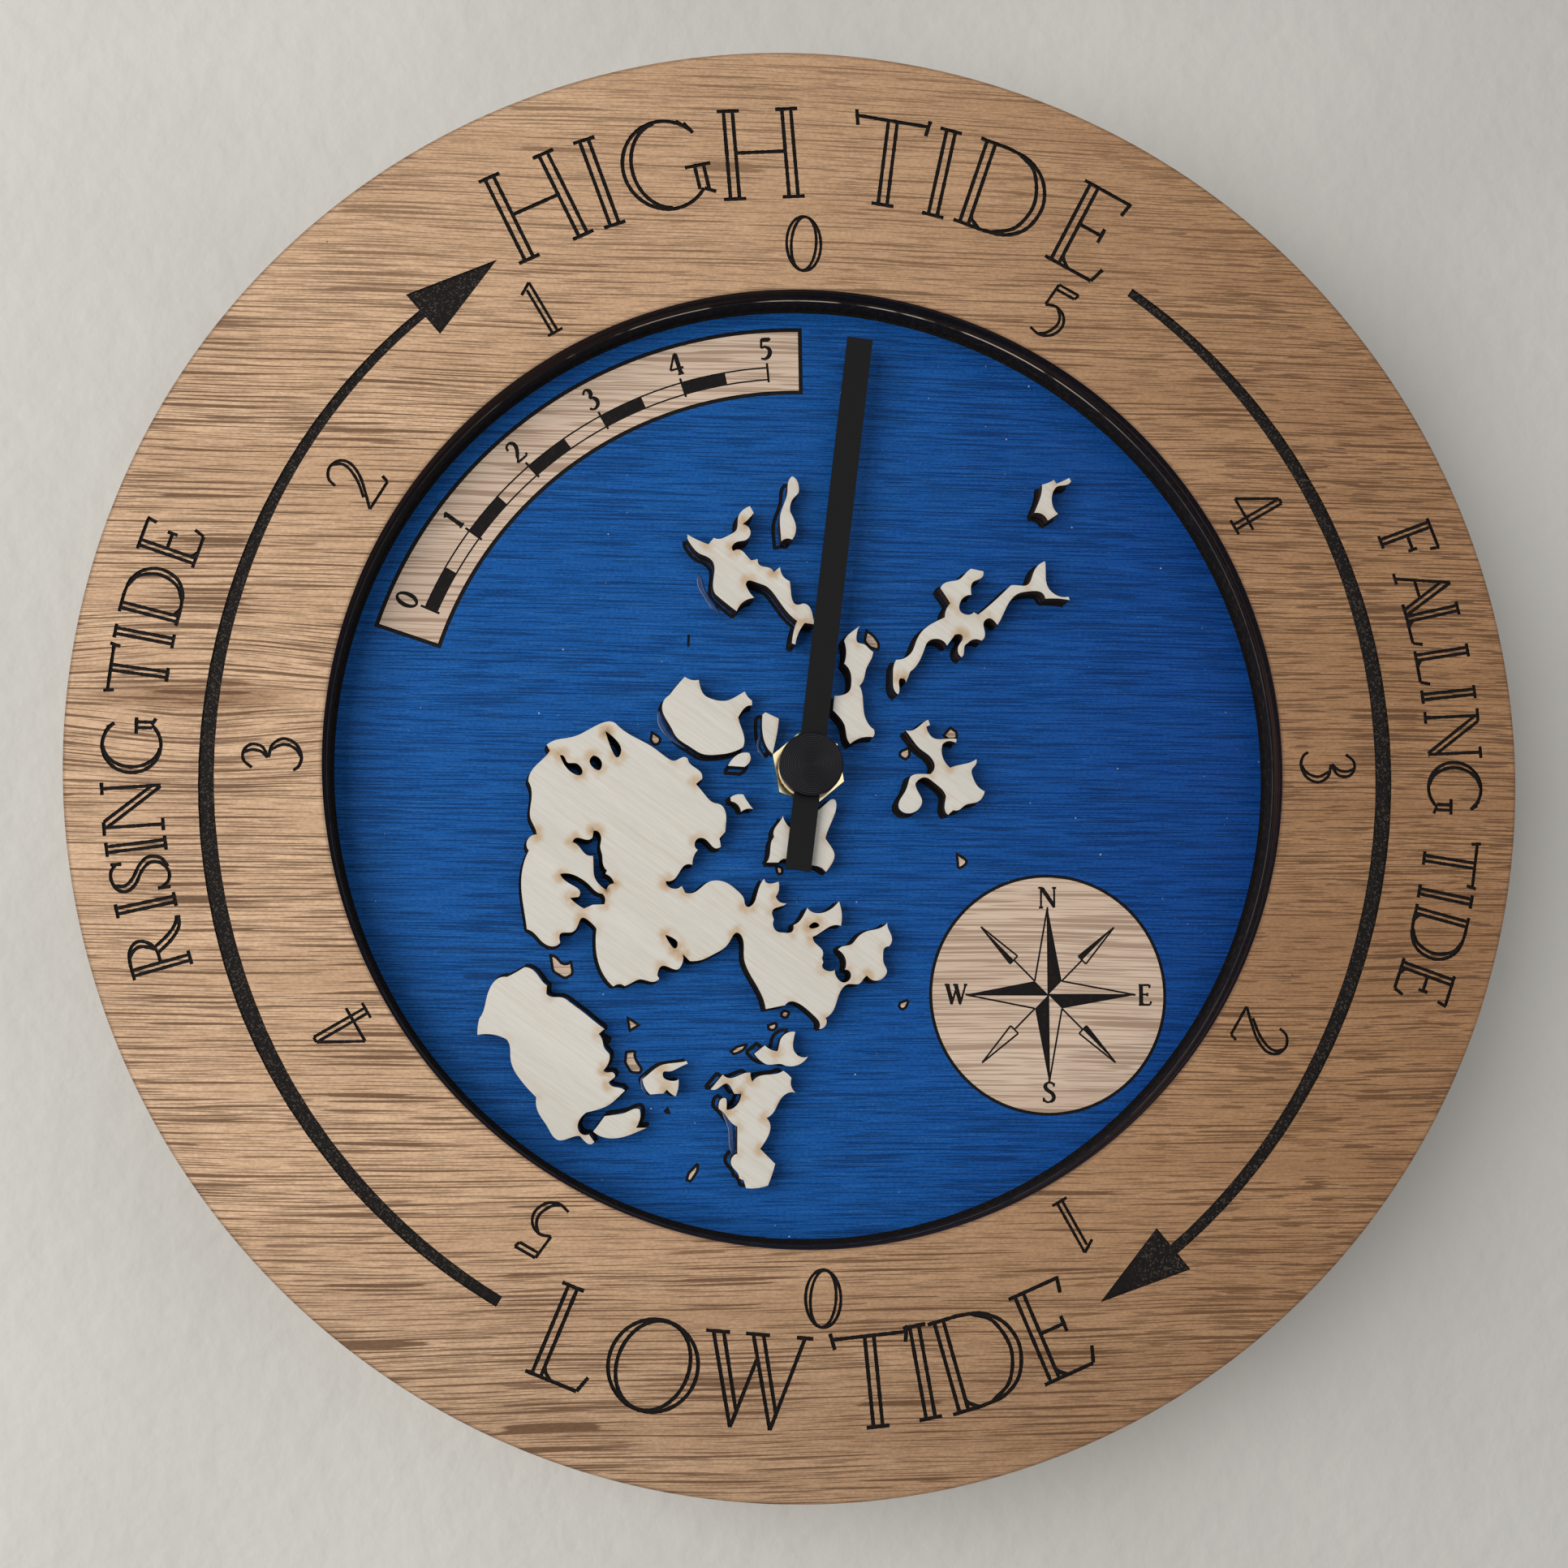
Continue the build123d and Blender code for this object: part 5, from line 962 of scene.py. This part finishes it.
capLook = {
    "radius": 6.6, "back": 27.1, "front": 29.5, "edge": 0.3, "grooves": 17, "grooveDepth": 0.04, "dish": 0.2,
    "dishReach": 6.0, "sides": 96, "spigot": 1.25, "spigotBack": 24.1,
    "black": rgb(0.003, 0.003, 0.004), "crestHighlight": rgb(0.034, 0.034, 0.04),
}


def turnedBlack():
    # black with the crests of the turned rings a little paler as painted highlight, at the same radii as the profile's
    look = capLook
    made, skin, spotOn = startMaterial("turnedBlack", Roughness=0.3, Specular_IOR_Level=0.1)
    turn = times(radialFrom(spotOn), math.pi * look["grooves"] / (look["radius"] * mm))
    crestHighlight = ease(calc("ABSOLUTE", calc("SINE", turn)), 0.82, 1.0)
    # uneven strength of the painted highlight on the crests, and of the roughness
    wear = ease(noise(spotOn, 160.0, 2.0), 0.35, 0.65, (0.55, 1.0))
    feed(skin, {"Base Color": blend(times(crestHighlight, wear), look["black"], look["crestHighlight"])})
    feed(skin, {"Roughness": ease(wear, 0.5, 1.0, (0.34, 0.27))})
    return made


def capProfile():
    # from the spigot's end out round the rim and in over the ringed face
    look = capLook
    wide, neck = look["radius"], look["spigot"]
    start = np.array([
        (0, look["spigotBack"]), (neck, look["spigotBack"]), (neck, look["back"]), (wide, look["back"]),
        (wide, look["front"] - look["edge"]), (wide - look["edge"], look["front"])])
    r = np.linspace(look["radius"] - look["edge"], 0, look["grooves"] * 10 + 1)[1:]
    wave = np.abs(np.sin(np.pi * r / (look["radius"] / look["grooves"]))) ** 0.7
    dish = look["dish"] * np.clip(1 - r / look["dishReach"], 0, 1) ** 1.5
    return np.vstack([start, np.stack([r, look["front"] - look["grooveDepth"] * (1 - wave) - dish], 1)])


hubCap = lathe("hub_cap_turned", capProfile()[::-1], capLook["sides"], turnedBlack(), False)
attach(hubCap, "hand")
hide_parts("hub_cap")

# finishes of the solids that keep their shape
finishOf = (
    (blackMetal, "tide_hand"), (brass, "hand_bush hex_nut threaded_bushing"), (rubber, "rubber_washer"),
    (caseBlack, "movement_front_case movement_rear_cover setting_knob train_bridge"),
    (wheelWhite, "tide_wheel motion_wheel centre_wheel second_wheel first_wheel"),
    (steel, "hanger bridge_screws stator quartz_can centre_arbor rotor positive_contact negative_contact"),
    (copper, "coil"), (circuitGreen, "circuit_board"), (sleeveGrey, "battery"),
)
for finish, names in finishOf:
    for name in names.split():
        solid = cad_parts[name]
        solid.data.materials.clear()
        solid.data.materials.append(finish)
print("solids finished:", sum(len(names.split()) for _, names in finishOf))


# wall, light and camera

wallLook = {"colour": rgb(0.66, 0.645, 0.605), "shade": rgb(0.6, 0.585, 0.55), "gap": 0.6,
    "radii": (45.0, 400.0, 1000.0, 2600.0), "sides": 96}


def plaster():
    made, skin, spotOn = startMaterial("plaster", Roughness=0.85)
    wash = noise(spotOn, 9.0, 3.0)
    feed(skin, {"Base Color": blend(ease(wash, 0.3, 0.7), wallLook["shade"], wallLook["colour"])})
    bump(skin, noise(spotOn, 150.0, 3.0, 0.5), 0.0012, 0.5)
    behind = place("NewGeometry").outputs["Backfacing"]
    clear = place("BsdfTransparent").outputs[0]
    mixed = place("MixShader", {0: behind, 1: skin.outputs[0], 2: clear}).outputs[0]
    feed(made.node_tree.nodes["Material Output"], {"Surface": mixed})
    return made


# a flat wall that shows the clock's shadow but throws none, so that the clock's back is lit too
wall = lathe("wall", [(radius, -wallLook["gap"]) for radius in wallLook["radii"]], wallLook["sides"], plaster(), False)
wall.visible_shadow = False

lampAim = (0.0, 0.0, -0.03)
lampLook = {
    "window": {"at": (-0.85, -0.88, -0.02), "size": (0.9, 1.1), "power": 12.5, "colour": (1.0, 0.985, 0.96)},
    "fill": {"at": (0.7, -1.5, 0.5), "size": (1.6, 1.6), "power": 4.0, "colour": (1.0, 0.99, 0.97)},
    "rear": {"at": (0.95, 1.0, 0.7), "size": (1.2, 1.2), "power": 12.0, "colour": (1.0, 1.0, 1.0)},
}
for name, look in lampLook.items():
    lamp = bpy.data.lights.new(name, "AREA")
    lamp.shape, lamp.size, lamp.size_y = "RECTANGLE", *look["size"]
    lamp.energy, lamp.color = look["power"], look["colour"]
    stand = bpy.data.objects.new(name, lamp)
    stand.location = look["at"]
    stand.rotation_euler = (Vector(lampAim) - Vector(look["at"])).to_track_quat("-Z", "Y").to_euler()
    bpy.context.scene.collection.objects.link(stand)

world = bpy.data.worlds.new("room")
bpy.context.scene.world = world
world.use_nodes = True
bench["tree"] = world.node_tree
seen = place("LightPath").outputs
direct = most(seen["Is Camera Ray"], most(seen["Is Glossy Ray"], seen["Is Transmission Ray"]))
ambient = place("Background", {"Color": rgb(0.97, 0.98, 1.0), "Strength": 0.3}).outputs[0]
pale = place("Background", {"Color": rgb(0.8, 0.79, 0.77), "Strength": 1.0}).outputs[0]
mixed = place("MixShader", {0: direct, 1: ambient, 2: pale}).outputs[0]
feed(world.node_tree.nodes["World Output"], {"Surface": mixed})

viewLook = {
    "place": (-41.974, -359.5, -84.435), "turn": -0.072, "tip": 0.05, "focal": 2000.0, "middle": (891.9, 1166.6),
    "picture": 1932.0, "sensor": 36.0,
}
lens = bpy.data.cameras.new("view")
lens.sensor_width = viewLook["sensor"]
lens.lens = viewLook["focal"] / viewLook["picture"] * viewLook["sensor"]
lens.shift_x = 0.5 - viewLook["middle"][0] / viewLook["picture"]
lens.shift_y = viewLook["middle"][1] / viewLook["picture"] - 0.5
lens.clip_start = 0.01
camera = bpy.data.objects.new("view", lens)
turned, tipped = Matrix.Rotation(viewLook["turn"], 4, "Z"), Matrix.Rotation(viewLook["tip"], 4, "X")
facing = turned @ tipped @ Matrix.Rotation(math.pi / 2, 4, "X")
camera.matrix_world = Matrix.Translation(Vector(viewLook["place"]) * mm) @ facing
bpy.context.scene.collection.objects.link(camera)
bpy.context.scene.camera = camera
bpy.context.scene.view_settings.view_transform = "Standard"
print("wall, light and camera set")
